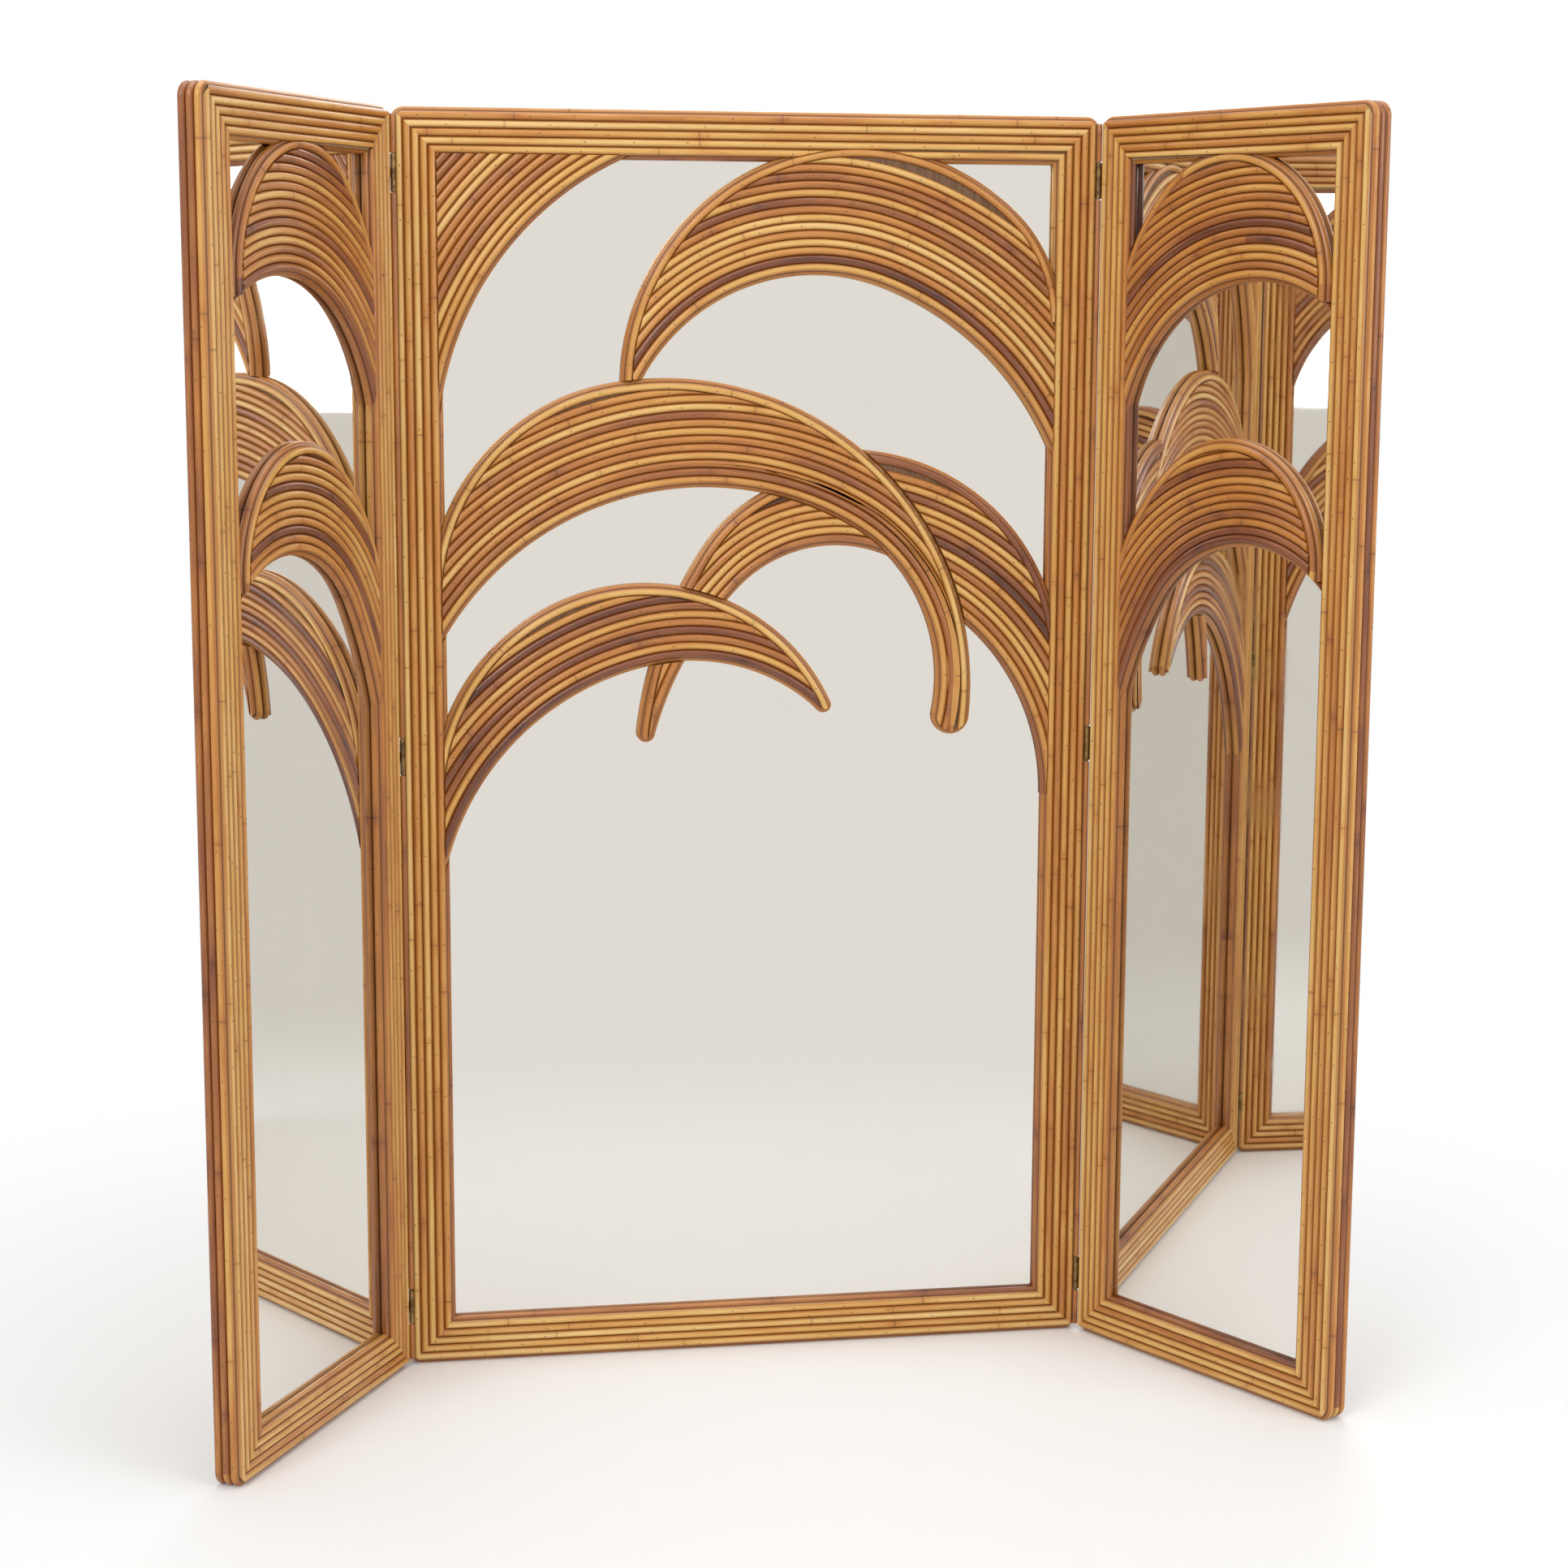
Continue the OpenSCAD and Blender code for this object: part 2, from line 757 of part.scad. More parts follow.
reed_light = [0.80, 0.58, 0.28];
reed_dark = [0.62, 0.36, 0.16];
timber = [0.72, 0.55, 0.36];
board_brown = [0.50, 0.33, 0.18];
glass_blue = [0.75, 0.84, 0.86];
metal = [0.60, 0.50, 0.28];

module centre_member(side) {
    difference() {
        frame_member(centre_w, side) {
            if (side == "top") top_area();
        }
        if (side == "left" || side == "right") both_hinges() leaf_screws(screw_fit);
        batten_screws(centre_w, screw_fit);
    }
}

module centre_stile_left() {
    color(timber) stand_centre() centre_member("left");
}

module centre_stile_right() {
    color(timber) stand_centre() centre_member("right");
}

module centre_rail_top() {
    color(timber) stand_centre() centre_member("top");
}

module centre_rail_bottom() {
    color(timber) stand_centre() centre_member("bottom");
}

module centre_stile_reeds() {
    color(reed_light) stand_centre() {
        for (side = ["left", "right"]) member_reeds(centre_w, side);
        gap_covers();
    }
}

module centre_rail_reeds() {
    color(reed_light) stand_centre() {
        member_reeds(centre_w, "top") top_area();
        member_reeds(centre_w, "bottom");
    }
}

module centre_edge_reeds() {
    color(reed_dark) stand_centre() {
        top_reeds(centre_w, true);
        edge_facing(-leaf_t);
        edge_facing(centre_w);
    }
}

module centre_foot_reeds() {
    color(reed_dark) stand_centre() foot_reeds(centre_w, true);
}

module centre_lip_reeds() {
    color(reed_dark) stand_centre() {
        lip(centre_w, "left") {
            corner_area(reed_r);
            middle_area(reed_r);
            lower_area(reed_r);
        }
        lip(centre_w, "right") {
            top_area(reed_r);
            right_area(reed_r);
        }
        lip(centre_w, "top") {
            corner_area(reed_r);
            top_area(reed_r);
        }
        lip(centre_w, "bottom");
    }
}

module centre_mirror() {
    color(glass_blue) stand_centre() glass(centre_w);
}

module centre_back_board() {
    color(board_brown) stand_centre() back_board(centre_w);
}

module centre_battens() {
    color(timber) stand_centre() battens(centre_w);
}

module face_board() {
    prism(-face_t, 0) children();
}

module corner_fan_board() {
    color(board_brown) stand_centre() face_board() corner_area();
}

corner_rows = ceil(
    (norm(hub_a(corner_inner_shares, centre_w) - [frame_w, panel_h - frame_w])
     - corner_inner_shares[2] * centre_w) / reed_w);

module corner_fan_reeds() {
    w = centre_w;
    hub = hub_a(corner_inner_shares, w);
    inner_r = corner_inner_shares[2] * w;
    stile_turn = hub[0] - inner_r > frame_w ? 0 : acos((hub[0] - frame_w) / inner_r);
    rail_turn = asin((panel_h - frame_w - hub[1]) / inner_r);
    color(reed_light) stand_centre() {
        for (k = [0 : corner_rows - 1])
            intersection() {
                translate(hub)
                    rotate([0, 0, 90]) rotate_extrude(angle = 90, $fn = arc_fn)
                        translate([inner_r + (k + 0.5) * reed_w, 0]) on_face();
                prism(-over, reed_w) block(frame_w, hub[1], hub[0], panel_h - frame_w);
            }
        translate(hub) rotate([0, 0, 180 - rail_turn])
            rotate_extrude(angle = rail_turn - stile_turn, $fn = arc_fn)
                translate([inner_r, -face_t / 2]) mirror([1, 0]) half_disc();
    }
}

module top_fan_board() {
    color(board_brown) stand_centre() face_board() top_area();
}

module top_fan_reeds() {
    color(reed_light) stand_centre() {
        fan_rows(top_fan, centre_w) top_area();
        fan_rim(top_fan, centre_w) top_area();
        fan_lining(top_fan, centre_w, [top_fan[6], top_fan[7]],
                   [far_ends(top_fan)[0], inner_end(top_fan, centre_w)])
            top_area(lining_reach);
    }
}

module middle_fan_board() {
    color(board_brown) stand_centre() face_board() middle_area();
}

module middle_fan_reeds() {
    w = centre_w;
    hub = hub_b(middle_fan[2], w, middle_fan[3]);
    inner_hub = hub_b(middle_fan[0], w, middle_fan[1]);
    inner_r = middle_fan[0][3] * w;
    color(reed_light) stand_centre() {
        fan_rows(middle_fan, w) middle_area();
        fan_rim(middle_fan, w) middle_area();
        fan_lining(middle_fan, w, [middle_fan[6], middle_tip],
                   [inner_ends(middle_fan, w)[0],
                    lining_turn(hub, middle_tip, inner_hub, inner_r)])
            middle_area(lining_reach);
        tip_ring(hub, middle_fan[2][3] * w, middle_tip, inner_hub, inner_r, false);
    }
}

module right_fan_board() {
    color(board_brown) stand_centre() face_board() {
        right_area();
        tail_area();
    }
}

module right_fan_reeds() {
    w = centre_w;
    hub = hub_a(tail_fan[2], w);
    inner_hub = hub_a(tail_fan[0], w);
    inner_r = tail_fan[0][2] * w;
    color(reed_dark) stand_centre() {
        fan_rows(right_fan, w) right_area();
        fan_rim(right_fan, w) right_area();
        fan_lining(right_fan, w, [right_fan[6], right_fan[7]],
                   [far_ends(right_fan)[0], inner_end(right_fan, w)])
            right_area(lining_reach);
        fan_rows(tail_fan, w) tail_area();
        fan_rim(tail_fan, w) tail_area();
        fan_lining(tail_fan, w, [tail_tip, tail_fan[7]],
                   [2 * far_turn(hub, tail_tip, inner_hub, inner_r)
                    - lining_turn(hub, tail_tip, inner_hub, inner_r),
                    far_ends(tail_fan)[1]])
            tail_area(lining_reach);
        tip_ring(hub, tail_fan[2][2] * w, tail_tip, inner_hub, inner_r, true);
    }
}

module lower_fan_board() {
    color(board_brown) stand_centre() face_board() lower_area();
}

module lower_fan_reeds() {
    w = centre_w;
    hub = hub_b(lower_fan[2], w, lower_fan[3]);
    inner_hub = hub_b(lower_fan[0], w, lower_fan[1]);
    inner_r = lower_fan[0][3] * w;
    color(reed_light) stand_centre() {
        fan_rows(lower_fan, w) lower_area();
        fan_rim(lower_fan, w) lower_area();
        fan_lining(lower_fan, w, [lower_fan[6], lower_tip],
                   [inner_ends(lower_fan, w)[0],
                    lining_turn(hub, lower_tip, inner_hub, inner_r)])
            lower_area(lining_reach);
        tip_ring(hub, lower_fan[2][3] * w, lower_tip, inner_hub, inner_r, false);
    }
}

module centre_hinge_leaves() {
    color(metal) stand_centre() both_hinges() fixed_leaf();
}

module hinge_pins() {
    color(metal) stand_centre() both_hinges() pin();
}

module centre_screws() {
    color(metal) stand_centre() {
        batten_screws(centre_w);
        both_hinges() leaf_screws();
    }
}

// Wing nodes, drawn once and used for both wings

module wing_member(side) {
    difference() {
        frame_member(wing_w, side) {
            if (side == "top") fan_area(wing_upper_fan, wing_w);
        }
        if (side == "left") wing_hinges() mirror([1, 0, 0]) leaf_screws(screw_fit);
        batten_screws(wing_w, screw_fit);
    }
}

module wing_frame_reeds() {
    for (side = ["left", "right", "bottom"]) member_reeds(wing_w, side);
    member_reeds(wing_w, "top") fan_area(wing_upper_fan, wing_w);
}

module wing_edge_reeds() {
    top_reeds(wing_w, false);
    edge_facing(-leaf_t);
}

module wing_lip_reeds() {
    for (side = ["left", "right", "top", "bottom"])
        lip(wing_w, side) {
            fan_area(wing_upper_fan, wing_w, reed_r);
            fan_area(wing_lower_fan, wing_w, reed_r);
        }
}

module wing_fan_reeds(f) {
    fan_rows(f, wing_w) fan_area(f, wing_w);
    fan_rim(f, wing_w) fan_area(f, wing_w);
    fan_lining(f, wing_w, [f[6], f[7]], inner_ends(f, wing_w))
        fan_area(f, wing_w, lining_reach);
}

module wing_screws() {
    batten_screws(wing_w);
    wing_hinges() mirror([1, 0, 0]) leaf_screws();
}

module left_stile_hinged() {
    color(timber) stand_left() wing_member("left");
}

module left_stile_outer() {
    color(timber) stand_left() wing_member("right");
}

module left_rail_top() {
    color(timber) stand_left() wing_member("top");
}

module left_rail_bottom() {
    color(timber) stand_left() wing_member("bottom");
}

module left_frame_reeds() {
    color(reed_light) stand_left() wing_frame_reeds();
}

module left_edge_reeds() {
    color(reed_dark) stand_left() wing_edge_reeds();
}

module left_foot_reeds() {
    color(reed_dark) stand_left() foot_reeds(wing_w, false);
}

module left_lip_reeds() {
    color(reed_dark) stand_left() wing_lip_reeds();
}

module left_mirror() {
    color(glass_blue) stand_left() glass(wing_w);
}

module left_back_board() {
    color(board_brown) stand_left() back_board(wing_w);
}

module left_battens() {
    color(timber) stand_left() battens(wing_w);
}

module left_upper_fan_board() {
    color(board_brown) stand_left() face_board() fan_area(wing_upper_fan, wing_w);
}

module left_upper_fan_reeds() {
    color(reed_light) stand_left() wing_fan_reeds(wing_upper_fan);
}

module left_lower_fan_board() {
    color(board_brown) stand_left() face_board() fan_area(wing_lower_fan, wing_w);
}

module left_lower_fan_reeds() {
    color(reed_light) stand_left() wing_fan_reeds(wing_lower_fan);
}

module left_hinge_leaves() {
    color(metal) stand_left() wing_hinges() swing_leaf();
}

module left_screws() {
    color(metal) stand_left() wing_screws();
}

module right_stile_hinged() {
    color(timber) stand_right() wing_member("left");
}

module right_stile_outer() {
    color(timber) stand_right() wing_member("right");
}

module right_rail_top() {
    color(timber) stand_right() wing_member("top");
}

module right_rail_bottom() {
    color(timber) stand_right() wing_member("bottom");
}

module right_frame_reeds() {
    color(reed_light) stand_right() wing_frame_reeds();
}

module right_edge_reeds() {
    color(reed_dark) stand_right() wing_edge_reeds();
}

module right_foot_reeds() {
    color(reed_dark) stand_right() foot_reeds(wing_w, false);
}

module right_lip_reeds() {
    color(reed_dark) stand_right() wing_lip_reeds();
}

module right_mirror() {
    color(glass_blue) stand_right() glass(wing_w);
}

module right_back_board() {
    color(board_brown) stand_right() back_board(wing_w);
}

module right_battens() {
    color(timber) stand_right() battens(wing_w);
}

module right_upper_fan_board() {
    color(board_brown) stand_right() face_board() fan_area(wing_upper_fan, wing_w);
}

module right_upper_fan_reeds() {
    color(reed_light) stand_right() wing_fan_reeds(wing_upper_fan);
}

module right_lower_fan_board() {
    color(board_brown) stand_right() face_board() fan_area(wing_lower_fan, wing_w);
}

module right_lower_fan_reeds() {
    color(reed_light) stand_right() wing_fan_reeds(wing_lower_fan);
}

module right_hinge_leaves() {
    color(metal) stand_right() wing_hinges() swing_leaf();
}

module right_screws() {
    color(metal) stand_right() wing_screws();
}

centre_stile_left();
centre_stile_right();
centre_rail_top();
centre_rail_bottom();
centre_stile_reeds();
centre_rail_reeds();
centre_edge_reeds();
centre_foot_reeds();
centre_lip_reeds();
centre_mirror();
centre_back_board();
centre_battens();
corner_fan_board();
corner_fan_reeds();
top_fan_board();
top_fan_reeds();
middle_fan_board();
middle_fan_reeds();
right_fan_board();
right_fan_reeds();
lower_fan_board();
lower_fan_reeds();
centre_hinge_leaves();
hinge_pins();
centre_screws();
left_stile_hinged();
left_stile_outer();
left_rail_top();
left_rail_bottom();
left_frame_reeds();
left_edge_reeds();
left_foot_reeds();
left_lip_reeds();
left_mirror();
left_back_board();
left_battens();
left_upper_fan_board();
left_upper_fan_reeds();
left_lower_fan_board();
left_lower_fan_reeds();
left_hinge_leaves();
left_screws();
right_stile_hinged();
right_stile_outer();
right_rail_top();
right_rail_bottom();
right_frame_reeds();
right_edge_reeds();
right_foot_reeds();
right_lip_reeds();
right_mirror();
right_back_board();
right_battens();
right_upper_fan_board();
right_upper_fan_reeds();
right_lower_fan_board();
right_lower_fan_reeds();
right_hinge_leaves();
right_screws();
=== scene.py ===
"""Looks of the three-panel reed mirror screen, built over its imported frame.

Every panel is drawn flat first, in millimetres, with x across, y up and z to
the front, as its maker would lay it out on a bench. It is then stood up in
its place. Each split reed is its own closed shape, trimmed where it meets a
rim, a stile or another fan.
"""

import json
import logging
import math
from dataclasses import dataclass, field
from enum import Enum
from typing import Callable, Iterable, Sequence

import bmesh
import bpy
import numpy as np
from mathutils import Matrix, Quaternion, Vector

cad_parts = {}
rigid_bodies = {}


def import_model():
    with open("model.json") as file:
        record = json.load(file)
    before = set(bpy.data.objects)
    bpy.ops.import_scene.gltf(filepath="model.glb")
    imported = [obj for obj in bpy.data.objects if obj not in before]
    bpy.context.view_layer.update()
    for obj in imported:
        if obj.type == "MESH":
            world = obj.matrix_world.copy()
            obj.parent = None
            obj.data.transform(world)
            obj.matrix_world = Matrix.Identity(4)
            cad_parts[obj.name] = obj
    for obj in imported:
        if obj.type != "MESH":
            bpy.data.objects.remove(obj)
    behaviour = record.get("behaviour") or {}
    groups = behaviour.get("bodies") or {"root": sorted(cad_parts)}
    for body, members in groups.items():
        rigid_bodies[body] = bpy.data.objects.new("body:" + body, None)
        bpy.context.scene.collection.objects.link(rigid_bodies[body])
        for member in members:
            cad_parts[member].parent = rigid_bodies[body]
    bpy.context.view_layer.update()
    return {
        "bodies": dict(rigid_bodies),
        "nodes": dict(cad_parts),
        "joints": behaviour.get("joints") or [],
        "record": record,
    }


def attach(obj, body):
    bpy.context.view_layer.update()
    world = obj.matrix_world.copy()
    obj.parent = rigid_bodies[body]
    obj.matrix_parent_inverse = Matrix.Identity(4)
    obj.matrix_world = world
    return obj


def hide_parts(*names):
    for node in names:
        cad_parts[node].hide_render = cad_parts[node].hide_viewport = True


log = logging.getLogger("mirror_screen")

Points = np.ndarray
Inside = Callable[[Points, Points], np.ndarray]
Colour = tuple[float, float, float]
Hub = tuple[float, float, float]
Socket = bpy.types.NodeSocket

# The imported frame, once it is loaded
FRAME: dict = {}

MM = 0.001

# The screen, in millimetres and degrees
PANEL_H = 1800.0
CENTRE_W = 1000.0
WING_W = 492.1
REED = 11.5
REED_R = 5.65
FACE_REEDS = 5
EDGE_REEDS = 3
FRAME_W = REED * FACE_REEDS
PANEL_D = REED * EDGE_REEDS
FACE_T = REED
CORNER_R = 15.0
LEAF_T = 1.2
LEAF_W = 24.0
LEAF_GAP = 0.3
FOOT_H = 4.9
PIN_X = 502.0
PIN_SIDE = 2.0
PIN_FRONT = 6.65
HINGE_H = 50.0
HINGE_PLACES = (85.0, 900.0, 1715.0)
COVER_R = 4.2
COVER_END = 5.0
COVER_STOP = 26.86
LEFT_FOLD = 61.0
RIGHT_FOLD = 60.5

# How the reeds are cut and laid
ROUND_STEP = 0.035
SHORT_STEP = 1.0
LONG_STEP = 14.0
SHORTEST_REED = 6.0
SPLICED_FROM = 260.0
SPLICE_CHANCE = 0.12
SPLICE_PLACES = (0.2, 0.8)
SPLICE_GAP = 0.1
TRIM_HALVINGS = 6
RING_GAP = 0.002
ALONG_SHIFT = 40.0
ROW_RUN_ON = 25.0
LINING_Z = -FACE_T / 2
LINING_SLACK = 1.0
MITRE_SLACK = 1e-6
STRAIGHT_STEP = 20.0
TOUCHING = 0.001

# Tints, from 0, pale honey, to 1, dark brown
DARK_TINTS = (0.75, 0.95)
PLAIN_TINTS = (0.02, 0.8)
COVER_TINT = 0.62
COVER_SPREAD = 0.06
CORNER_SPREAD = 0.07


class Panel(Enum):
    """The three panels, by the body that each of them is."""

    CENTRE = "centre"
    LEFT = "left_wing"
    RIGHT = "right_wing"

    @property
    def prefix(self) -> str:
        """Start of the panel's node names."""
        return self.value.split("_")[0] + "_"

    @property
    def width(self) -> float:
        """Width of the panel's frame, in millimetres."""
        return CENTRE_W if self is Panel.CENTRE else WING_W

    @property
    def stand(self) -> Matrix:
        """Stands the panel's drawing up in its place.

        Returns:
            What turns the drawing, in millimetres, into the screen, in metres.
        """
        upright = Matrix(((1, 0, 0, 0), (0, 0, -1, 0), (0, 1, 0, 0), (0, 0, 0, 1)))
        small = Matrix.Scale(MM, 4)
        if self is Panel.CENTRE:
            place = Matrix.Translation((-CENTRE_W / 2, -PANEL_D / 2, FOOT_H))
            return small @ place @ upright
        fold = LEFT_FOLD if self is Panel.LEFT else RIGHT_FOLD
        pin = Matrix.Translation((PIN_X, -PIN_FRONT - PANEL_D / 2, 0))
        place = Matrix.Translation((PIN_SIDE, PIN_FRONT, FOOT_H))
        wing = pin @ Matrix.Rotation(math.radians(-fold), 4, "Z") @ place @ upright
        if self is Panel.LEFT:
            wing = Matrix.Diagonal((-1, 1, 1, 1)) @ wing
        return small @ wing


class Member(Enum):
    """The four members of a panel's frame."""

    LEFT = "left"
    RIGHT = "right"
    TOP = "top"
    BOTTOM = "bottom"

    @property
    def upright(self) -> bool:
        """Whether it is a stile."""
        return self in (Member.LEFT, Member.RIGHT)


class Bulge(Enum):
    """Which way the round side of a split reed faces."""

    FRONT = "front"
    LEFT = "left"
    RIGHT = "right"


class Side(Enum):
    """The stiles that a fan butts on."""

    LEFT = "left"
    RIGHT = "right"
    BOTH = "both"
    NONE = "none"


# Paths


@dataclass(frozen=True)
class Arc:
    """Part of a circle, followed from one direction to another, in degrees."""

    x: float
    y: float
    r: float
    start: float
    end: float

    @property
    def length(self) -> float:
        """Length in millimetres."""
        return math.radians(abs(self.end - self.start)) * self.r

    @property
    def step(self) -> float:
        """Longest piece that still looks round."""
        return min(max(ROUND_STEP * self.r, SHORT_STEP), LONG_STEP)

    def at(self, s: np.ndarray) -> tuple[np.ndarray, ...]:
        """Point, and the direction to the left of travel.

        Args:
            s: Distances from the start.

        Returns:
            The arrays x, y, left x and left y.
        """
        way = 1.0 if self.end > self.start else -1.0
        a = math.radians(self.start) + way * s / self.r
        c, d = np.cos(a), np.sin(a)
        return self.x + self.r * c, self.y + self.r * d, -way * c, -way * d


@dataclass(frozen=True)
class Line:
    """A straight run from one point to another."""

    x0: float
    y0: float
    x1: float
    y1: float
    step: float = 90.0

    @property
    def length(self) -> float:
        """Length in millimetres."""
        return math.hypot(self.x1 - self.x0, self.y1 - self.y0)

    def at(self, s: np.ndarray) -> tuple[np.ndarray, ...]:
        """Point, and the direction to the left of travel.

        Args:
            s: Distances from the start.

        Returns:
            The arrays x, y, left x and left y.
        """
        tx, ty = (self.x1 - self.x0) / self.length, (self.y1 - self.y0) / self.length
        one = np.ones_like(s)
        return self.x0 + tx * s, self.y0 + ty * s, -ty * one, tx * one


@dataclass(frozen=True)
class Path:
    """Legs that follow one another."""

    legs: tuple[Arc | Line, ...]

    @property
    def length(self) -> float:
        """Length in millimetres."""
        return sum(leg.length for leg in self.legs)

    def stations(self) -> np.ndarray:
        """Divides the legs into pieces that look round.

        Returns:
            Distances at which the swept shape gets a ring.
        """
        out, base = [0.0], 0.0
        for leg in self.legs:
            n = max(1, math.ceil(leg.length / leg.step))
            out += [base + leg.length * (i + 1) / n for i in range(n)]
            base += leg.length
        return np.array(out)

    def offset(self, s: np.ndarray, o: np.ndarray) -> tuple[np.ndarray, np.ndarray]:
        """Points beside the path.

        Args:
            s: Distances from the start.
            o: Offsets to the left of travel, of the same shape.

        Returns:
            The arrays x and y.
        """
        s, o = np.broadcast_arrays(np.asarray(s, float), np.asarray(o, float))
        x, y = np.zeros(s.shape), np.zeros(s.shape)
        base = 0.0
        for k, leg in enumerate(self.legs):
            last = k == len(self.legs) - 1
            here = ((s >= base) | (k == 0)) & ((s < base + leg.length) | last)
            px, py, lx, ly = leg.at(s - base)
            x, y = np.where(here, px + o * lx, x), np.where(here, py + o * ly, y)
            base += leg.length
        return x, y


# Outlines


def block(x: Points, y: Points, x0: float, y0: float, x1: float, y1: float) -> np.ndarray:
    """Which points lie inside an upright rectangle."""
    return (x >= x0) & (x <= x1) & (y >= y0) & (y <= y1)


@dataclass(frozen=True)
class Curve:
    """Two arcs that meet tangentially, in shares of the panel's width."""

    across: float
    down: float
    before: float
    after: float
    turn: float
    width: float

    @property
    def a(self) -> Hub:
        """Middle and radius of the arc anticlockwise of the turn."""
        w = self.width
        return self.across * w, PANEL_H - self.down * w, self.before * w

    @property
    def b(self) -> Hub:
        """Finds the arc clockwise of the turn, which meets the other smoothly.

        Returns:
            Its middle and radius.
        """
        x, y, _ = self.a
        t, step = math.radians(self.turn), (self.before - self.after) * self.width
        return x + step * math.cos(t), y + step * math.sin(t), self.after * self.width

    def holds(self, x: Points, y: Points, grow: float = 0.0) -> np.ndarray:
        """Tests points against the curve.

        Args:
            x: Their places across.
            y: Their heights.
            grow: How far the curve is grown first.

        Returns:
            Which of them lie inside.
        """
        (ax, ay, ar), (bx, by, br) = self.a, self.b
        t = math.radians(self.turn)
        up = (y - ay) * math.cos(t) - (x - ax) * math.sin(t) >= 0
        in_a = np.hypot(x - ax, y - ay) <= ar + grow
        in_b = np.hypot(x - bx, y - by) <= br + grow
        return np.where(up, in_a, in_b)

    def path(self, start: float, end: float, grow: float = 0.0) -> Path:
        """The curve as a path, clockwise.

        Args:
            start: Direction in which it starts.
            end: Direction in which it ends.
            grow: How far outside the curve it runs.

        Returns:
            The path, of one or two arcs.
        """
        (ax, ay, ar), (bx, by, br) = self.a, self.b
        legs = []
        if start > self.turn:
            legs.append(Arc(ax, ay, ar + grow, start, max(self.turn, end)))
        if end < self.turn:
            legs.append(Arc(bx, by, br + grow, min(self.turn, start), end))
        return Path(tuple(legs))


@dataclass(frozen=True)
class Tip:
    """A fan's rounded end, past one direction from its rim's middle."""

    turn: float
    turned: bool


@dataclass(frozen=True)
class Fan:
    """A board of arched reeds between an inner curve and a rim."""

    inner: Curve
    rim: Curve
    side: Side
    depth: float
    rim_from: float
    rim_to: float
    tip: Tip | None = None

    @property
    def width(self) -> float:
        """Width of the panel that the fan lies on."""
        return self.inner.width

    @property
    def rows(self) -> int:
        """Reeds side by side from the inner curve outwards."""
        return math.ceil(self.depth * self.width / REED)

    @property
    def hubs(self) -> tuple[Hub, Hub]:
        """Middle and radius of the rim and of the inner curve at the tip."""
        return (self.rim.a, self.inner.a) if self.tip.turned else (self.rim.b, self.inner.b)

    def tip_round(self) -> tuple[float, float, float, float]:
        """The circle that closes the tip.

        Returns:
            Its middle's x and y, its radius, and the direction from the
            inner curve's middle in which the tip starts.
        """
        (px, py, pr), (cx, cy, cr) = self.hubs
        t = math.radians(self.tip.turn)
        dx, dy = math.cos(t), math.sin(t)
        qx, qy = cx - px, cy - py
        b = qx * dx + qy * dy
        far = b + math.sqrt(b * b - qx * qx - qy * qy + cr * cr)
        gap = pr - far
        start = math.degrees(math.atan2(py + far * dy - cy, px + far * dx - cx))
        return px + (pr - gap / 2) * dx, py + (pr - gap / 2) * dy, gap / 2, start

    def base(self, x: Points, y: Points, grow: float, inset: float) -> np.ndarray:
        """Finds where the fan runs on past its rim to the stiles.

        Args:
            x: The points' places across.
            y: Their heights.
            grow: How far a straight end is grown.
            inset: How far a straight end stays back, for its rim reed.

        Returns:
            Which points lie there.
        """
        (_, low_a, _), (_, low_b, _) = self.inner.a, self.inner.b
        (ax, ay, _), (bx, by, br) = self.rim.a, self.rim.b
        out = np.zeros(x.shape, bool)
        if self.side in (Side.LEFT, Side.BOTH):
            out |= block(x, y, FRAME_W, low_a, ax, ay)
        if self.side is Side.RIGHT:
            out |= block(x, y, bx, low_b, self.width - FRAME_W, by)
        if self.side is Side.BOTH:
            out |= block(x, y, bx, low_b, bx + br + grow - inset, by)
        return out

    def area(self, x: Points, y: Points, grow: float = 0.0) -> np.ndarray:
        """Tests points against the fan's board.

        Args:
            x: The points' places across.
            y: Their heights.
            grow: How far the board is grown, by its lining.

        Returns:
            Which points lie on it.
        """
        out = self.rim.holds(x, y, grow) | self.base(x, y, grow, 0.0)
        out &= block(x, y, FRAME_W, 0, self.width - FRAME_W, PANEL_H)
        out &= ~self.inner.holds(x, y, -grow)
        if self.tip is None:
            return out
        (px, py, _), _ = self.hubs
        t = math.radians(self.tip.turn)
        u = (x - px) * math.cos(t) + (y - py) * math.sin(t)
        v = (y - py) * math.cos(t) - (x - px) * math.sin(t)
        past = (u >= 0) & ((v >= 0) if self.tip.turned else (v <= 0))
        cx, cy, r, _ = self.tip_round()
        return (out & ~past) | (np.hypot(x - cx, y - cy) <= r + grow)

    def within_rim(self, x: Points, y: Points) -> np.ndarray:
        """Which points lie inside the rim reed."""
        return self.rim.holds(x, y, -REED) | self.base(x, y, 0.0, REED)


def curve(width: float, turn: float, *shares: float) -> Curve:
    """A curve from its shares of the width: across, down, radius before and after."""
    return Curve(*shares, turn, width)


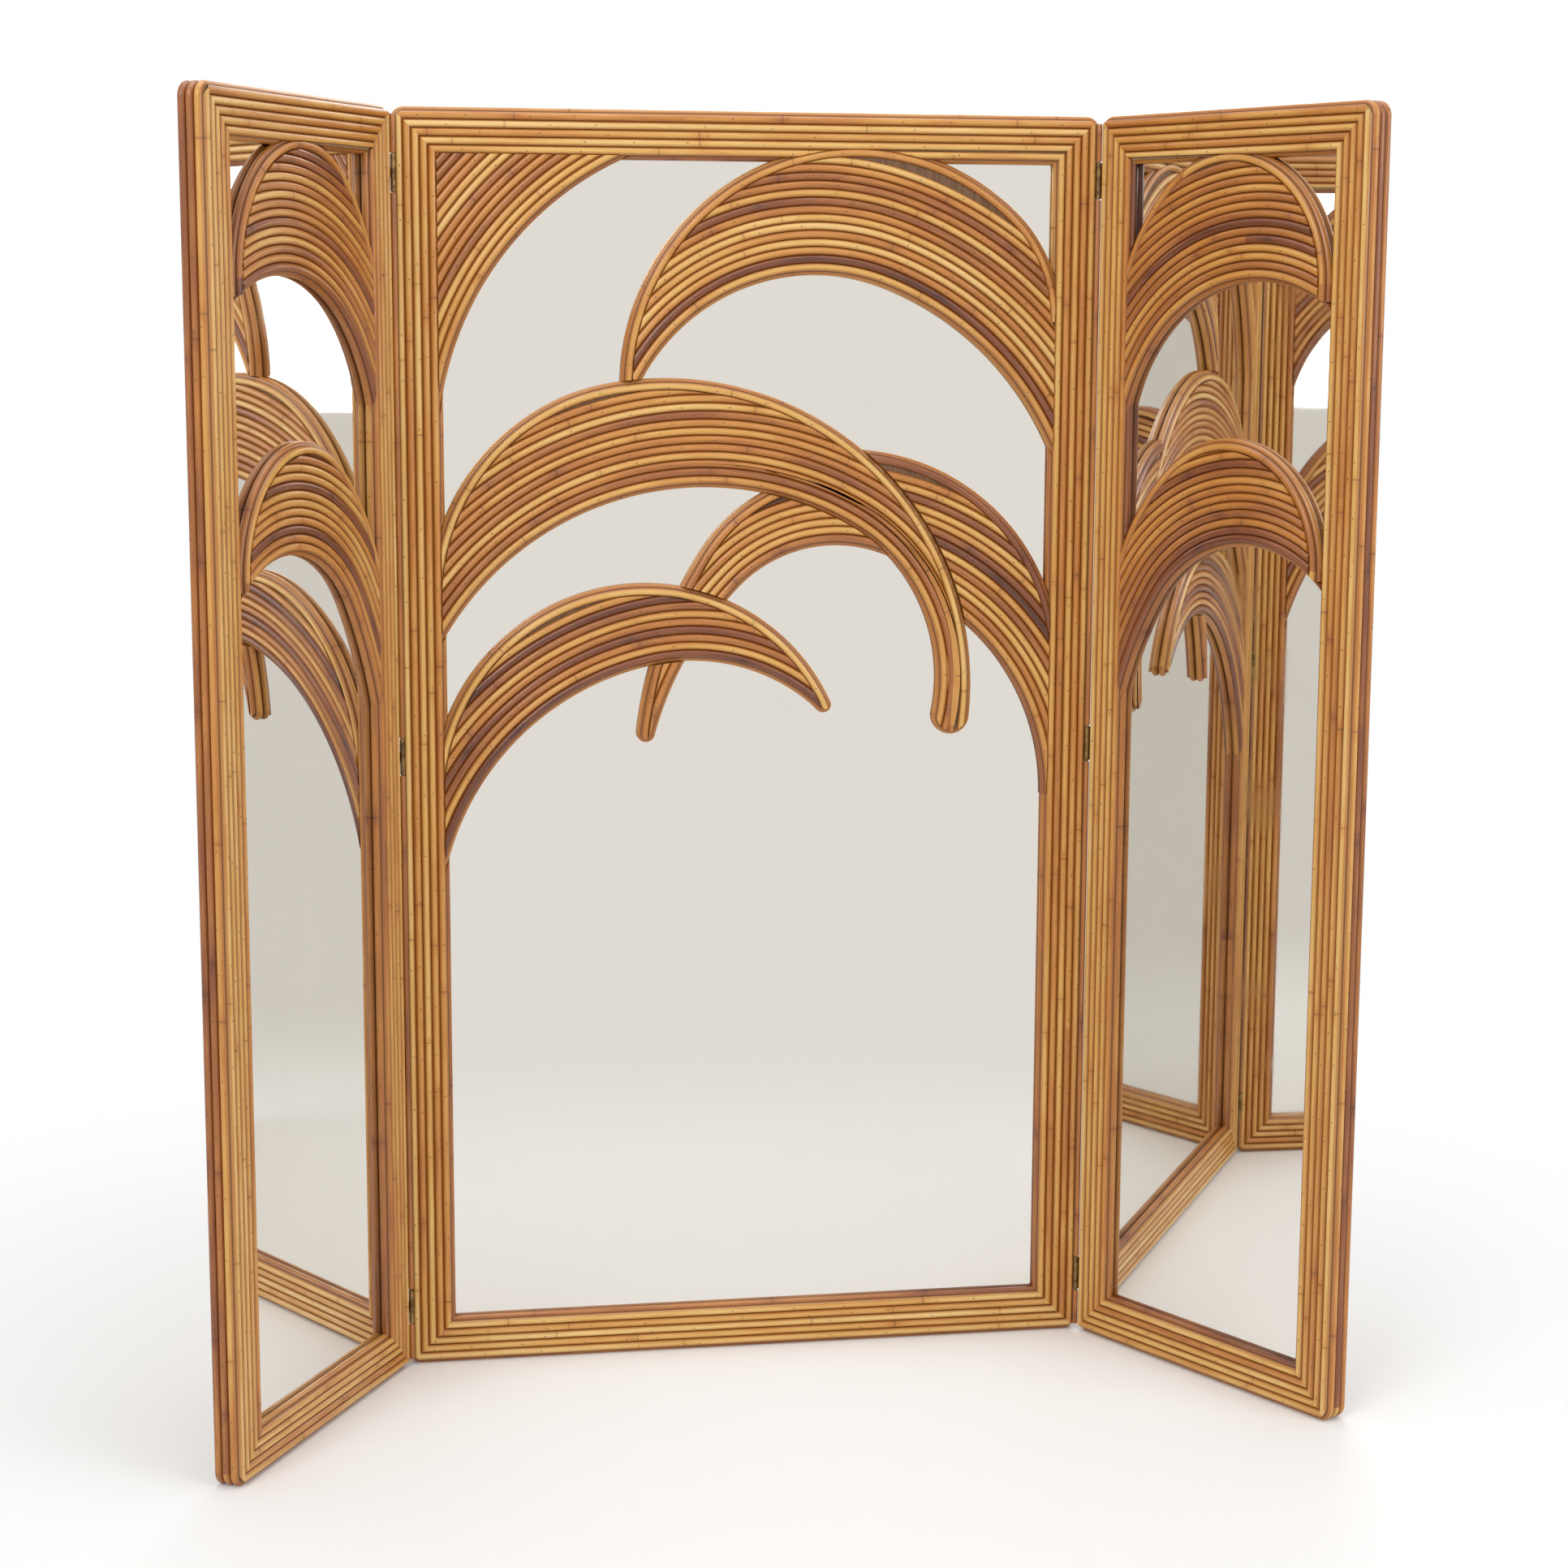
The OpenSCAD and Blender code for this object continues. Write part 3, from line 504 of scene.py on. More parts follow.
TOP = Fan(curve(CENTRE_W, 69.5, 0.593, 0.505, 0.290, 0.444),
          curve(CENTRE_W, 47.0, 0.653, 0.379, 0.335, 0.207), Side.RIGHT, 0.155, 197, 0)
MIDDLE = Fan(curve(CENTRE_W, 61.0, 0.432, 0.952, 0.437, 0.265),
             curve(CENTRE_W, 101.0, 0.3512, 0.6794, 0.3055, 0.444), Side.LEFT, 0.135, 180, -19,
             Tip(-5.5, False))
RIGHT = Fan(curve(CENTRE_W, 60.0, 0.602, 0.976, 0.339, 0.339),
            curve(CENTRE_W, 60.0, 0.641, 0.788, 0.315, 0.315), Side.RIGHT, 0.145, 120, 0)
TAIL = Fan(curve(CENTRE_W, 135.5, 0.830, 1.005, 0.492, 0.202),
           curve(CENTRE_W, 147.0, 0.938, 0.941, 0.602, 0.232), Side.NONE, 0.09, 207, 87,
           Tip(173.5, True))
LOWER = Fan(curve(CENTRE_W, 102.0, 0.435, 1.154, 0.392, 0.279),
            curve(CENTRE_W, 90.0, 0.345, 0.9625, 0.2995, 0.296), Side.LEFT, 0.1, 180, 0,
            Tip(25.0, False))
CORNER_INNER = curve(CENTRE_W, 90.0, 0.507, 0.473, 0.458, 0.458)
WING_UPPER = Fan(curve(WING_W, 100.0, 0.606, 0.965, 0.512, 0.512),
                 curve(WING_W, 136.5, 0.682, 0.648, 0.617, 0.362), Side.BOTH, 0.32, 180, 0)
WING_LOWER = Fan(curve(WING_W, 146.0, 1.162, 1.986, 1.096, 0.417),
                 curve(WING_W, 128.5, 0.708, 1.490, 0.644, 0.340), Side.BOTH, 0.27, 180, 0)


def corner_block(x: Points, y: Points) -> np.ndarray:
    """Which points lie in the corner that the corner fan fills."""
    hx, hy, _ = CORNER_INNER.a
    return block(x, y, FRAME_W, hy, hx, PANEL_H - FRAME_W)


def corner_area(x: Points, y: Points, grow: float = 0.0) -> np.ndarray:
    """Which points lie on the corner fan's board."""
    return corner_block(x, y) & ~CORNER_INNER.holds(x, y, -grow)


def top_area(x: Points, y: Points, grow: float = 0.0) -> np.ndarray:
    """Which points lie on the top fan's board, outside the middle fan."""
    return TOP.area(x, y, grow) & ~MIDDLE.area(x, y, REED_R)


def right_area(x: Points, y: Points, grow: float = 0.0) -> np.ndarray:
    """Which points lie on the right fan's board, outside the middle fan."""
    return RIGHT.area(x, y, grow) & ~MIDDLE.rim.holds(x, y, REED_R)


def tail_area(x: Points, y: Points, grow: float = 0.0) -> np.ndarray:
    """Which points lie on the tail's board, between the middle and lower fans."""
    out = TAIL.area(x, y, grow) & MIDDLE.inner.holds(x, y, -REED_R)
    return out & ~LOWER.area(x, y, REED_R)


# Reeds


@dataclass(frozen=True)
class Shade:
    """How a bundle of reeds is coloured: its mean, its spread and how often one is dark."""

    mean: float
    spread: float = 0.12
    dark: float = 0.06

    def pick(self, rng: np.random.Generator) -> float:
        """Picks one reed's tint.

        Args:
            rng: Where its luck comes from.

        Returns:
            The tint.
        """
        if rng.random() < self.dark:
            return float(rng.uniform(*DARK_TINTS))
        return float(np.clip(rng.normal(self.mean, self.spread), *PLAIN_TINTS))


def runs(mask: np.ndarray) -> list[tuple[int, int]]:
    """First and last place of each unbroken run of true values."""
    turns = np.flatnonzero(np.diff(np.r_[0, mask.astype(int), 0]))
    return list(zip(turns[::2], turns[1::2] - 1))


def edges_at(verts: Iterable[bmesh.types.BMVert]) -> list[bmesh.types.BMEdge]:
    """The edges at some points, each of them once, in the same order every time."""
    return list(dict.fromkeys(e for v in verts for e in v.link_edges))


@dataclass
class ReedBed:
    """Split reeds that make up one node, collected in one mesh."""

    name: str
    panel: Panel
    shade: Shade
    seed: int
    facets: int = 10
    strip_ease: float = 0.3
    rod_ease: float = 1.6
    rod_steps: int = 3
    rod_facets: int = 18
    sharp: float = 50.0
    mesh: bmesh.types.BMesh = field(init=False)

    def __post_init__(self) -> None:
        """Starts an empty mesh with what the finish reads."""
        self.mesh = bmesh.new()
        layers = self.mesh.verts.layers.float
        self.marks = [layers.new(n) for n in ("along", "around", "tint", "seed")]
        self.rng = np.random.default_rng(self.seed)
        self.count = 0

    def profile(self, bulge: Bulge, depth: float) -> tuple[np.ndarray, np.ndarray]:
        """Section of a split reed.

        Args:
            bulge: The way it faces.
            depth: Height of its flat side's middle above the panel's face.

        Returns:
            Offsets to the left of the path, and heights.
        """
        phi = np.linspace(0, math.pi, self.facets + 1)
        if bulge is Bulge.FRONT:
            return REED_R * np.cos(phi), depth + REED_R * np.sin(phi)
        way = 1.0 if bulge is Bulge.LEFT else -1.0
        return way * REED_R * np.sin(phi), depth + REED_R * np.cos(phi)

    def lay(self, path: Path, bulge: Bulge = Bulge.FRONT, depth: float = 0.0,
            inside: Inside | None = None, tint: float | None = None,
            limits: Sequence[float] | None = None) -> None:
        """Lays a reed along a path and trims it to an area.

        Args:
            path: Where the middle of its flat side runs.
            bulge: The way it faces.
            depth: Height of its flat side's middle above the panel's face.
            inside: Which points it may cover, or all of them.
            tint: Its colour, or one picked from the shade.
            limits: Lowest x, highest x and lowest y that it is planed to.
        """
        o, z = self.profile(bulge, depth)
        s = np.linspace(0, path.length, max(int(path.length), 2) + 1)
        x, y = path.offset(*np.meshgrid(s, o, indexing="ij"))
        mask = np.ones(x.shape, bool) if inside is None else inside(x, y)
        for first, last in runs(mask.any(axis=1)):
            ends = self.ends(path, s, o, mask, first, last, inside)
            longest = np.nanmax(ends[:, 1] - ends[:, 0])
            if longest < SHORTEST_REED:
                continue
            own = self.shade.pick(self.rng) if tint is None else tint
            cuts = [0.0, 1.0]
            if longest > SPLICED_FROM and self.rng.random() < SPLICE_CHANCE:
                cuts.insert(1, float(self.rng.uniform(*SPLICE_PLACES)))
            for part in zip(cuts, cuts[1:]):
                self.sweep(path, bulge, o, z, ends, part, own, limits)
                if tint is None:
                    own = (own + self.shade.pick(self.rng)) / 2

    def ends(self, path: Path, s: np.ndarray, o: np.ndarray, mask: np.ndarray,
             first: int, last: int, inside: Inside | None) -> np.ndarray:
        """Finds where each line along a reed starts and ends.

        Args:
            path: The reed's path.
            s: Distances at which it was tried.
            o: Each line's offset.
            mask: Which of the tried points may be covered.
            first: First row of the run.
            last: Last row of the run.
            inside: Which points may be covered.

        Returns:
            A start and an end for each line, or nan where it has none.
        """
        out = np.full((len(o), 2), np.nan)
        for j in range(len(o)):
            spans = runs(mask[first:last + 1, j])
            if not spans:
                continue
            a, b = max(spans, key=lambda span: span[1] - span[0])
            out[j] = s[first + a], s[first + b]
            for k, (row, way) in enumerate(((first + a, -1), (first + b, 1))):
                if inside is not None and 0 <= row + way < len(s):
                    out[j, k] = self.trim(path, o[j], s[row], s[row + way], inside)
        return out

    def trim(self, path: Path, offset: float, good: float, bad: float,
             inside: Inside) -> float:
        """Finds the end of one line along a reed by halving.

        Args:
            path: The reed's path.
            offset: The line's offset.
            good: A distance at which it may lie.
            bad: A distance at which it may not.
            inside: Which points may be covered.

        Returns:
            The last distance found at which it may lie.
        """
        for _ in range(TRIM_HALVINGS):
            mid = (good + bad) / 2
            px, py = path.offset(np.array([mid]), np.array([offset]))
            good, bad = (mid, bad) if inside(px, py)[0] else (good, mid)
        return good

    def sweep(self, path: Path, bulge: Bulge, o: np.ndarray, z: np.ndarray, ends: np.ndarray,
              part: tuple[float, float], tint: float, limits: Sequence[float] | None) -> None:
        """Shapes one reed from a flat grid, and closes it.

        Args:
            path: The reed's path.
            bulge: The way it faces.
            o: Offset of each line along it.
            z: Height of each line along it.
            ends: Start and end of each line.
            part: The share of its length that this piece takes.
            tint: Its colour.
            limits: Lowest x, highest x and lowest y that it is planed to.
        """
        good = np.flatnonzero(~np.isnan(ends[:, 0]))
        near = good[np.abs(good[None, :] - np.arange(len(o))[:, None]).argmin(axis=1)]
        missing = near != np.arange(len(o))
        o, ends = o[near], ends[near]
        if bulge is Bulge.FRONT:
            z = np.where(missing, z[0], z)
        low, high = ends[:, 0].min(), ends[:, 1].max()
        gap = SPLICE_GAP / max(high - low, 1.0)
        a, b = part[0] + (gap if part[0] > 0 else 0), part[1] - (gap if part[1] < 1 else 0)
        rings = (path.stations() - low) / (high - low)
        rings = np.r_[a, rings[(rings > a + RING_GAP) & (rings < b - RING_GAP)], b]
        n, m = len(rings) - 1, len(o)
        bm = self.mesh
        made = bmesh.ops.create_grid(bm, x_segments=n, y_segments=m, size=0.5)["verts"]
        columns = np.r_[np.arange(m), 0]
        s = ends[columns, 0][None, :] + rings[:, None] * (ends[columns, 1] - ends[columns, 0])
        px, py = path.offset(s, np.broadcast_to(o[columns], s.shape))
        if limits is not None:
            px = np.clip(px, limits[0], limits[1])
            py = np.maximum(py, limits[2])
        pz = np.broadcast_to(z[columns], s.shape)
        seed, shift = float(self.rng.random()), float(self.rng.uniform(0, ALONG_SHIFT))
        for v in made:
            i, j = round((v.co.x + 0.5) * n), round((v.co.y + 0.5) * m)
            v.co = (px[i, j], py[i, j], pz[i, j])
            self.mark(v, (s[i, j] * MM + shift, columns[j] / (m - 1), tint, seed))
        self.close(made)

    def close(self, made: list[bmesh.types.BMVert]) -> None:
        """Joins a wrapped grid where its two sides meet, and shuts its ends.

        Args:
            made: The grid's points.
        """
        bmesh.ops.remove_doubles(self.mesh, verts=made, dist=TOUCHING)
        rims = [e for e in edges_at(v for v in made if v.is_valid) if e.is_boundary]
        if rims:
            bmesh.ops.holes_fill(self.mesh, edges=rims, sides=0)
        self.count += 1

    def mark(self, vert: bmesh.types.BMVert, values: Sequence[float]) -> None:
        """Writes what the finish reads at a point: along, around, tint and seed."""
        for layer, value in zip(self.marks, values):
            vert[layer] = value

    def strip(self, *spans: tuple[float, float]) -> None:
        """Adds a thin flat facing strip, with its edges eased.

        Args:
            spans: Its lowest and highest x, y and z.
        """
        made = bmesh.ops.create_cube(self.mesh, size=1.0)["verts"]
        for v in made:
            v.co = [(a + b) / 2 + c * (b - a) for c, (a, b) in zip(v.co, spans)]
        eased = bmesh.ops.bevel(self.mesh, geom=edges_at(made), offset=self.strip_ease,
                                segments=2, profile=0.5, affect="EDGES", material=-1,
                                clamp_overlap=True)
        seed = float(self.rng.random())
        for v in set(eased["verts"]) | {v for v in made if v.is_valid}:
            self.mark(v, (v.co.y * MM, 0.5, self.shade.mean, seed))

    def rod(self, x: float, z: float, y0: float, y1: float, tint: float) -> None:
        """Adds a whole, upright reed with rounded ends.

        Args:
            x: Where its middle stands across the panel.
            z: Height of its middle above the panel's face.
            y0: Its lower end.
            y1: Its upper end.
            tint: Its colour.
        """
        n, m = 2 * self.rod_steps + 1, self.rod_facets
        bend = np.linspace(0, math.pi / 2, self.rod_steps + 1)
        waist = self.rod_ease / math.cos(math.pi / m) * (1 - np.sin(bend))
        rise = self.rod_ease * (1 - np.cos(bend))
        radii = COVER_R - np.r_[waist, waist[::-1]]
        heights = np.r_[y0 + rise, y1 - rise[::-1]]
        made = bmesh.ops.create_grid(self.mesh, x_segments=n, y_segments=m, size=0.5)["verts"]
        seed = float(self.rng.random())
        for v in made:
            i, turn = round((v.co.x + 0.5) * n), math.tau * round((v.co.y + 0.5) * m) / m
            side = float(radii[i]) * math.sin(turn)
            v.co = (x + side, float(heights[i]), z + float(radii[i]) * math.cos(turn))
            self.mark(v, (v.co.y * MM, 0.5 + 0.5 * side / COVER_R, tint, seed))
        self.close(made)

    def finish(self, material: bpy.types.Material, slot: str) -> None:
        """Stands the bed up in its place and lets it take its node's part.

        Args:
            material: The reeds' finish.
            slot: Not used.
        """
        bm = self.mesh
        bmesh.ops.transform(bm, matrix=self.panel.stand, verts=bm.verts)
        bmesh.ops.recalc_face_normals(bm, faces=bm.faces)
        for f in bm.faces:
            f.smooth = True
        mesh = bpy.data.meshes.new(self.name + "_laid")
        bm.to_mesh(mesh)
        bm.free()
        mesh.set_sharp_from_angle(angle=math.radians(self.sharp))
        mesh.materials.append(material)
        piece = bpy.data.objects.new(self.name + "_laid", mesh)
        bpy.context.scene.collection.objects.link(piece)
        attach(piece, self.panel.value)
        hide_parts(self.name)
        log.info("%s: %d reeds, %d faces", self.name, self.count, len(mesh.polygons))


# Shader helpers


class Nodes:
    """Places and links nodes in one tree, in the order they are made."""

    gap: int = 190

    def __init__(self, tree: bpy.types.NodeTree) -> None:
        """Starts at the left of a tree."""
        self.tree = tree
        self.place = 0

    def feed(self, node: bpy.types.Node, inputs: dict) -> None:
        """Sets a node's sockets.

        Args:
            node: The node.
            inputs: The sockets' values, or the sockets that feed them.
        """
        for key, value in inputs.items():
            socket = node.inputs[key]
            if isinstance(value, Socket):
                self.tree.links.new(value, socket)
            else:
                socket.default_value = (*value, 1.0) if socket.type == "RGBA" else value

    def add(self, kind: str, inputs: dict | None = None, **settings: object) -> bpy.types.Node:
        """Adds a node.

        Args:
            kind: The node's type.
            inputs: Its sockets' values, or the sockets that feed them.
            settings: Its own properties.

        Returns:
            The node.
        """
        node = self.tree.nodes.new(kind)
        self.place += 1
        node.location = (self.place * self.gap, -(self.place % 4) * self.gap)
        for key, value in settings.items():
            setattr(node, key, value)
        self.feed(node, inputs or {})
        return node

    def math(self, operation: str, *values: object) -> Socket:
        """The result of a Math node."""
        return self.add("ShaderNodeMath", dict(enumerate(values)),
                        operation=operation).outputs[0]

    def times(self, a: object, b: object) -> Socket:
        """One value times another."""
        return self.math("MULTIPLY", a, b)

    def plus(self, first: object, *others: object) -> Socket:
        """The sum of some values.

        Args:
            first: The first of them.
            others: What is added to it, one after the other.

        Returns:
            The sum.
        """
        for other in others:
            first = self.math("ADD", first, other)
        return first

    def sway(self, value: object, amount: float) -> Socket:
        """A value that lies about a half, made to swing about nought."""
        return self.times(self.math("SUBTRACT", value, 0.5), amount)

    def mix(self, factor: object, a: object, b: object) -> Socket:
        """A colour mixed from two."""
        return self.add("ShaderNodeMix", {0: factor, 6: a, 7: b}, data_type="RGBA").outputs[2]

    def band(self, value: object, low: float, high: float,
             to_low: float = 0.0, to_high: float = 1.0) -> Socket:
        """Takes a value smoothly from one range to another.

        Args:
            value: The value.
            low: Where its own range starts.
            high: Where its own range ends.
            to_low: Where the new range starts.
            to_high: Where the new range ends.

        Returns:
            The new value.
        """
        return self.add("ShaderNodeMapRange", {"Value": value, "From Min": low, "From Max": high,
                                               "To Min": to_low, "To Max": to_high},
                        interpolation_type="SMOOTHSTEP").outputs[0]

    def noise(self, vector: object, scale: float, detail: float = 3.0,
              rough: float = 0.55) -> Socket:
        """A Noise texture's value."""
        return self.add("ShaderNodeTexNoise", {"Vector": vector, "Scale": scale,
                                               "Detail": detail, "Roughness": rough}).outputs[0]

    def luck(self, vector: object) -> Socket:
        """A random value for each whole vector."""
        return self.add("ShaderNodeTexWhiteNoise", {"Vector": vector},
                        noise_dimensions="3D").outputs[0]

    def ramp(self, value: object, stops: Sequence[tuple[float, Colour]]) -> Socket:
        """Reads a colour from a ramp.

        Args:
            value: Where on the ramp.
            stops: Its stops' places and colours.

        Returns:
            The colour.
        """
        node = self.add("ShaderNodeValToRGB", {"Fac": value})
        ramp = node.color_ramp
        for k, (place, colour) in enumerate(stops):
            stop = ramp.elements[k] if k < 2 else ramp.elements.new(place)
            stop.position, stop.color = place, (*colour, 1.0)
        return node.outputs[0]

    def join(self, x: object, y: object, z: object) -> Socket:
        """A vector from three values."""
        return self.add("ShaderNodeCombineXYZ", {0: x, 1: y, 2: z}).outputs[0]

    def stretch(self, vector: Socket, scale: tuple[float, float, float]) -> Socket:
        """A vector times another, part by part."""
        return self.add("ShaderNodeVectorMath", {0: vector, 1: scale},
                        operation="MULTIPLY").outputs[0]

    def bump(self, height: Socket, strength: float, distance: float) -> Socket:
        """The normal of a bumpy face."""
        return self.add("ShaderNodeBump", {"Height": height, "Strength": strength,
                                           "Distance": distance}).outputs[0]

    def surface(self) -> Socket:
        """The place on the piece."""
        return self.add("ShaderNodeTexCoord").outputs["Object"]

    def group(self, name: str, **inputs: object) -> Sequence[Socket]:
        """The outputs of a shared group, placed in this tree."""
        return self.add("ShaderNodeGroup", inputs,
                        node_tree=bpy.data.node_groups[name]).outputs


def open_group(name: str, inputs: dict[str, float | None],
               outputs: Sequence[str]) -> tuple[Nodes, Sequence[Socket], bpy.types.Node]:
    """Starts a shader node group.

    Args:
        name: Its name.
        inputs: Each input's name and default value, or none for a vector.
        outputs: Each output's name.

    Returns:
        The group's helper, its inputs as sockets, and its output node.
    """
    tree = bpy.data.node_groups.new(name, "ShaderNodeTree")
    for label, value in inputs.items():
        kind = "NodeSocketVector" if value is None else "NodeSocketFloat"
        socket = tree.interface.new_socket(label, in_out="INPUT", socket_type=kind)
        if value is not None:
            socket.default_value = value
    for label in outputs:
        tree.interface.new_socket(label, in_out="OUTPUT", socket_type="NodeSocketFloat")
    n = Nodes(tree)
    return n, n.add("NodeGroupInput").outputs, n.add("NodeGroupOutput")


def growth_group() -> None:
    """Group for the marks along a reed: growth rings, nails, flecks, streaks, and masks for
    painted shade on its sides and in the valleys between reeds.
    """
    n, (along, around, seed, spacing, *_), out = open_group(
        "reed_marks_and_shade", {"Along": 0.0, "Around": 0.5, "Seed": 0.0, "Spacing": 0.24},
        ("Ring", "Nail", "Fleck", "Streak", "SideStainAndShade", "Blush", "ValleyShade", "Wave"))
    big = n.times(seed, 57.0)

    def drawn(lengthwise: float, across: float) -> Socket:
        """The reed's surface at two scales, apart from its neighbours'."""
        return n.join(n.times(along, lengthwise), n.times(around, across), big)

    # one growth ring in every spacing, at a random place in it, in metres
    ring_wander, ring_core, ring_edge, blush_edge = 0.0022, 0.0006, 0.0021, 0.022
    cell_at = n.plus(n.math("DIVIDE", along, spacing), big)
    cell = n.math("FLOOR", cell_at)
    place = n.math("MULTIPLY_ADD", n.luck(n.join(cell, big, 0.3)), 0.7, 0.15)
    away = n.math("ABSOLUTE", n.times(n.math("SUBTRACT", n.math("FRACT", cell_at), place),
                                      spacing))
    wander = n.noise(n.join(n.times(around, 3.0), cell, big), 1.7, 2.0)
    away = n.plus(away, n.sway(wander, ring_wander))
    # nail heads, one in each pitch, some of them left out
    pitch, girth, nail_core, nail_edge, left_out = 0.075, 0.0177, 0.0007, 0.0015, 0.3
    nail_at = n.plus(n.math("DIVIDE", along, pitch), n.times(seed, 13.0))
    luck = n.luck(n.join(n.math("FLOOR", nail_at), seed, 4.1))
    du = n.times(n.math("SUBTRACT", n.math("FRACT", nail_at),
                        n.math("MULTIPLY_ADD", luck, 0.6, 0.2)), pitch)
    dv = n.times(n.math("SUBTRACT", around, n.math("MULTIPLY_ADD", luck, 0.2, 0.4)), girth)
    reach = n.math("SQRT", n.plus(*(n.math("POWER", n.math("ABSOLUTE", d), 2.0)
                                    for d in (du, dv))))
    # streaks drawn out along the reed, over a slower mottle
    streak = n.plus(n.times(n.noise(drawn(14.0, 11.0), 1.0, 4.0, 0.6), 0.55),
                    n.times(n.noise(drawn(9.0, 1.3), 1.0, 3.0, 0.55), 0.45))
    # distance from the crest: the sides are painted darker, partly stain and partly painted shade
    # of their rounding away from the light
    side = n.math("ABSOLUTE", n.math("MULTIPLY_ADD", around, 2.0, -1.0))
    n.feed(out, {
        "Ring": n.band(away, ring_core, ring_edge, 1.0, 0.0),
        "Nail": n.times(n.band(reach, nail_core, nail_edge, 1.0, 0.0),
                        n.math("GREATER_THAN", luck, left_out)),
        "Fleck": n.band(n.noise(drawn(160.0, 5.0), 1.0, 2.0, 0.6), 0.68, 0.78),
        "Streak": streak,
        "SideStainAndShade": n.band(n.plus(side, n.sway(streak, 0.5)), 0.10, 0.66),
        "Blush": n.band(away, 0.0, blush_edge, 1.0, 0.0),
        # painted shade in the valley where a reed meets its neighbour
        "ValleyShade": n.band(side, 0.78, 1.0),
        "Wave": n.noise(n.join(n.times(along, 3.1), 0.0, big), 1.0, 2.0, 0.5)})


def grain_group() -> None:
    """Group for timber grain and saw marks, along the third axis of its vector."""
    n, (where, *_), out = open_group("timber_grain", {"Vector": None},
                                     ("Grain", "Pores", "Tone"))
    grain = n.noise(n.stretch(where, (60.0, 60.0, 3.0)), 1.0, 5.0, 0.6)
    fine = n.stretch(where, (900.0, 900.0, 22.0))
    n.feed(out, {"Grain": n.math("FRACT", n.times(grain, 7.0)),
                 "Pores": n.band(n.noise(fine, 1.0, 2.0, 0.5), 0.55, 0.72),
                 "Tone": n.noise(where, 6.0, 2.0, 0.5)})


def wear_group() -> None:
    """Group for handling marks: smears, dust and fine scratches on hard faces."""
    n, (where, amount, *_), out = open_group("handling_wear", {"Vector": None, "Amount": 1.0},
                                             ("Smear", "Scratch"))
    smear = n.band(n.noise(where, 9.0, 5.0, 0.65), 0.4, 0.8)
    scratch = n.band(n.noise(n.stretch(where, (700.0, 60.0, 240.0)), 1.0, 1.0, 0.5), 0.72, 0.8)
    n.feed(out, {"Smear": n.times(smear, amount), "Scratch": n.times(scratch, amount)})


# Finishes


def shade_of(colour: Colour, share: float) -> Colour:
    """A colour made darker or lighter."""
    return tuple(min(1.0, c * share) for c in colour)


@dataclass(frozen=True)
class Finish:
    """What every finish has: its name, and how it starts."""

    name: str

    def start(self) -> tuple[bpy.types.Material, Nodes, bpy.types.Node]:
        """Makes an empty material.

        Returns:
            The material, its helper and its Principled shader.
        """
        material = bpy.data.materials.new(self.name)
        material.use_nodes = True
        material.node_tree.nodes.clear()
        n = Nodes(material.node_tree)
        shader = n.add("ShaderNodeBsdfPrincipled")
        n.add("ShaderNodeOutputMaterial", {0: shader.outputs[0]})
        return material, n, shader


@dataclass(frozen=True)
class ReedFinish(Finish):
    """Varnished split reed, from pale honey to dark brown."""

    pale: Colour = (0.74, 0.50, 0.19)
    honey: Colour = (0.63, 0.35, 0.085)
    amber: Colour = (0.49, 0.19, 0.032)
    brown: Colour = (0.22, 0.062, 0.018)
    dark: Colour = (0.05, 0.014, 0.009)
    # colour of the reeds' sides: stain mixed with painted shade
    stain: Colour = (0.345, 0.112, 0.014)
    # painted shade in the valleys between reeds
    seam: Colour = (0.055, 0.018, 0.008)
    nail_head: Colour = (0.03, 0.016, 0.012)
    ring_spacing: float = 0.40
    streaks: float = 0.75
    blushes: float = 0.10
    waves: float = 0.6
    # strength of the sides' darker colour, partly stain and partly painted shade
    groove: float = 0.78
    # strength of the painted shade in the valleys between reeds
    joint: float = 0.8
    fleck: float = 0.45
    ring: float = 0.4
    nail: float = 0.85
    roughness: tuple[float, float] = (0.28, 0.48)
    coat: tuple[float, float] = (0.5, 0.3)

    def build(self) -> bpy.types.Material:
        """Makes the material.

        Returns:
            The finished material.
        """
        material, n, shader = self.start()
        along, around, tint, seed = (n.add("ShaderNodeAttribute", attribute_name=k).outputs["Fac"]
                                     for k in ("along", "around", "tint", "seed"))
        ring, nail, fleck, streak, groove, blush, joint, wave = n.group(
            "reed_marks_and_shade", Along=along, Around=around, Seed=seed, Spacing=self.ring_spacing)
        tone = n.plus(tint, n.sway(streak, self.streaks), n.times(blush, self.blushes),
                      n.sway(wave, self.waves))
        colour = n.ramp(tone, ((0.0, self.pale), (0.28, self.honey), (0.52, self.amber),
                               (0.78, self.brown), (1.0, self.dark)))
        # each reed's sides take a darker colour, partly stain and partly painted shade, leaving
        # the crest paler
        stain = n.mix(n.band(tone, 0.45, 0.9), self.stain, self.brown)
        # the valleys between reeds are painted near black, as painted shade
        for mark, share, over in ((groove, self.groove, stain), (joint, self.joint, self.seam),
                                  (fleck, self.fleck, self.dark), (ring, self.ring, self.dark),
                                  (nail, self.nail, self.nail_head)):
            colour = n.mix(n.times(mark, share), colour, over)
        rough = n.plus(n.band(streak, 0.25, 0.75, *self.roughness), n.times(ring, 0.2))
        height = n.plus(n.times(streak, 0.5), n.times(ring, -0.6), n.times(nail, 0.5),
                        n.times(blush, 0.5))
        n.feed(shader, {"Base Color": colour, "Roughness": rough,
                        "Coat Weight": n.band(streak, 0.2, 0.8, *self.coat),
                        "Coat Roughness": 0.14, "Specular IOR Level": 0.45,
                        "Normal": n.bump(height, 0.5, 0.0006)})
        return material


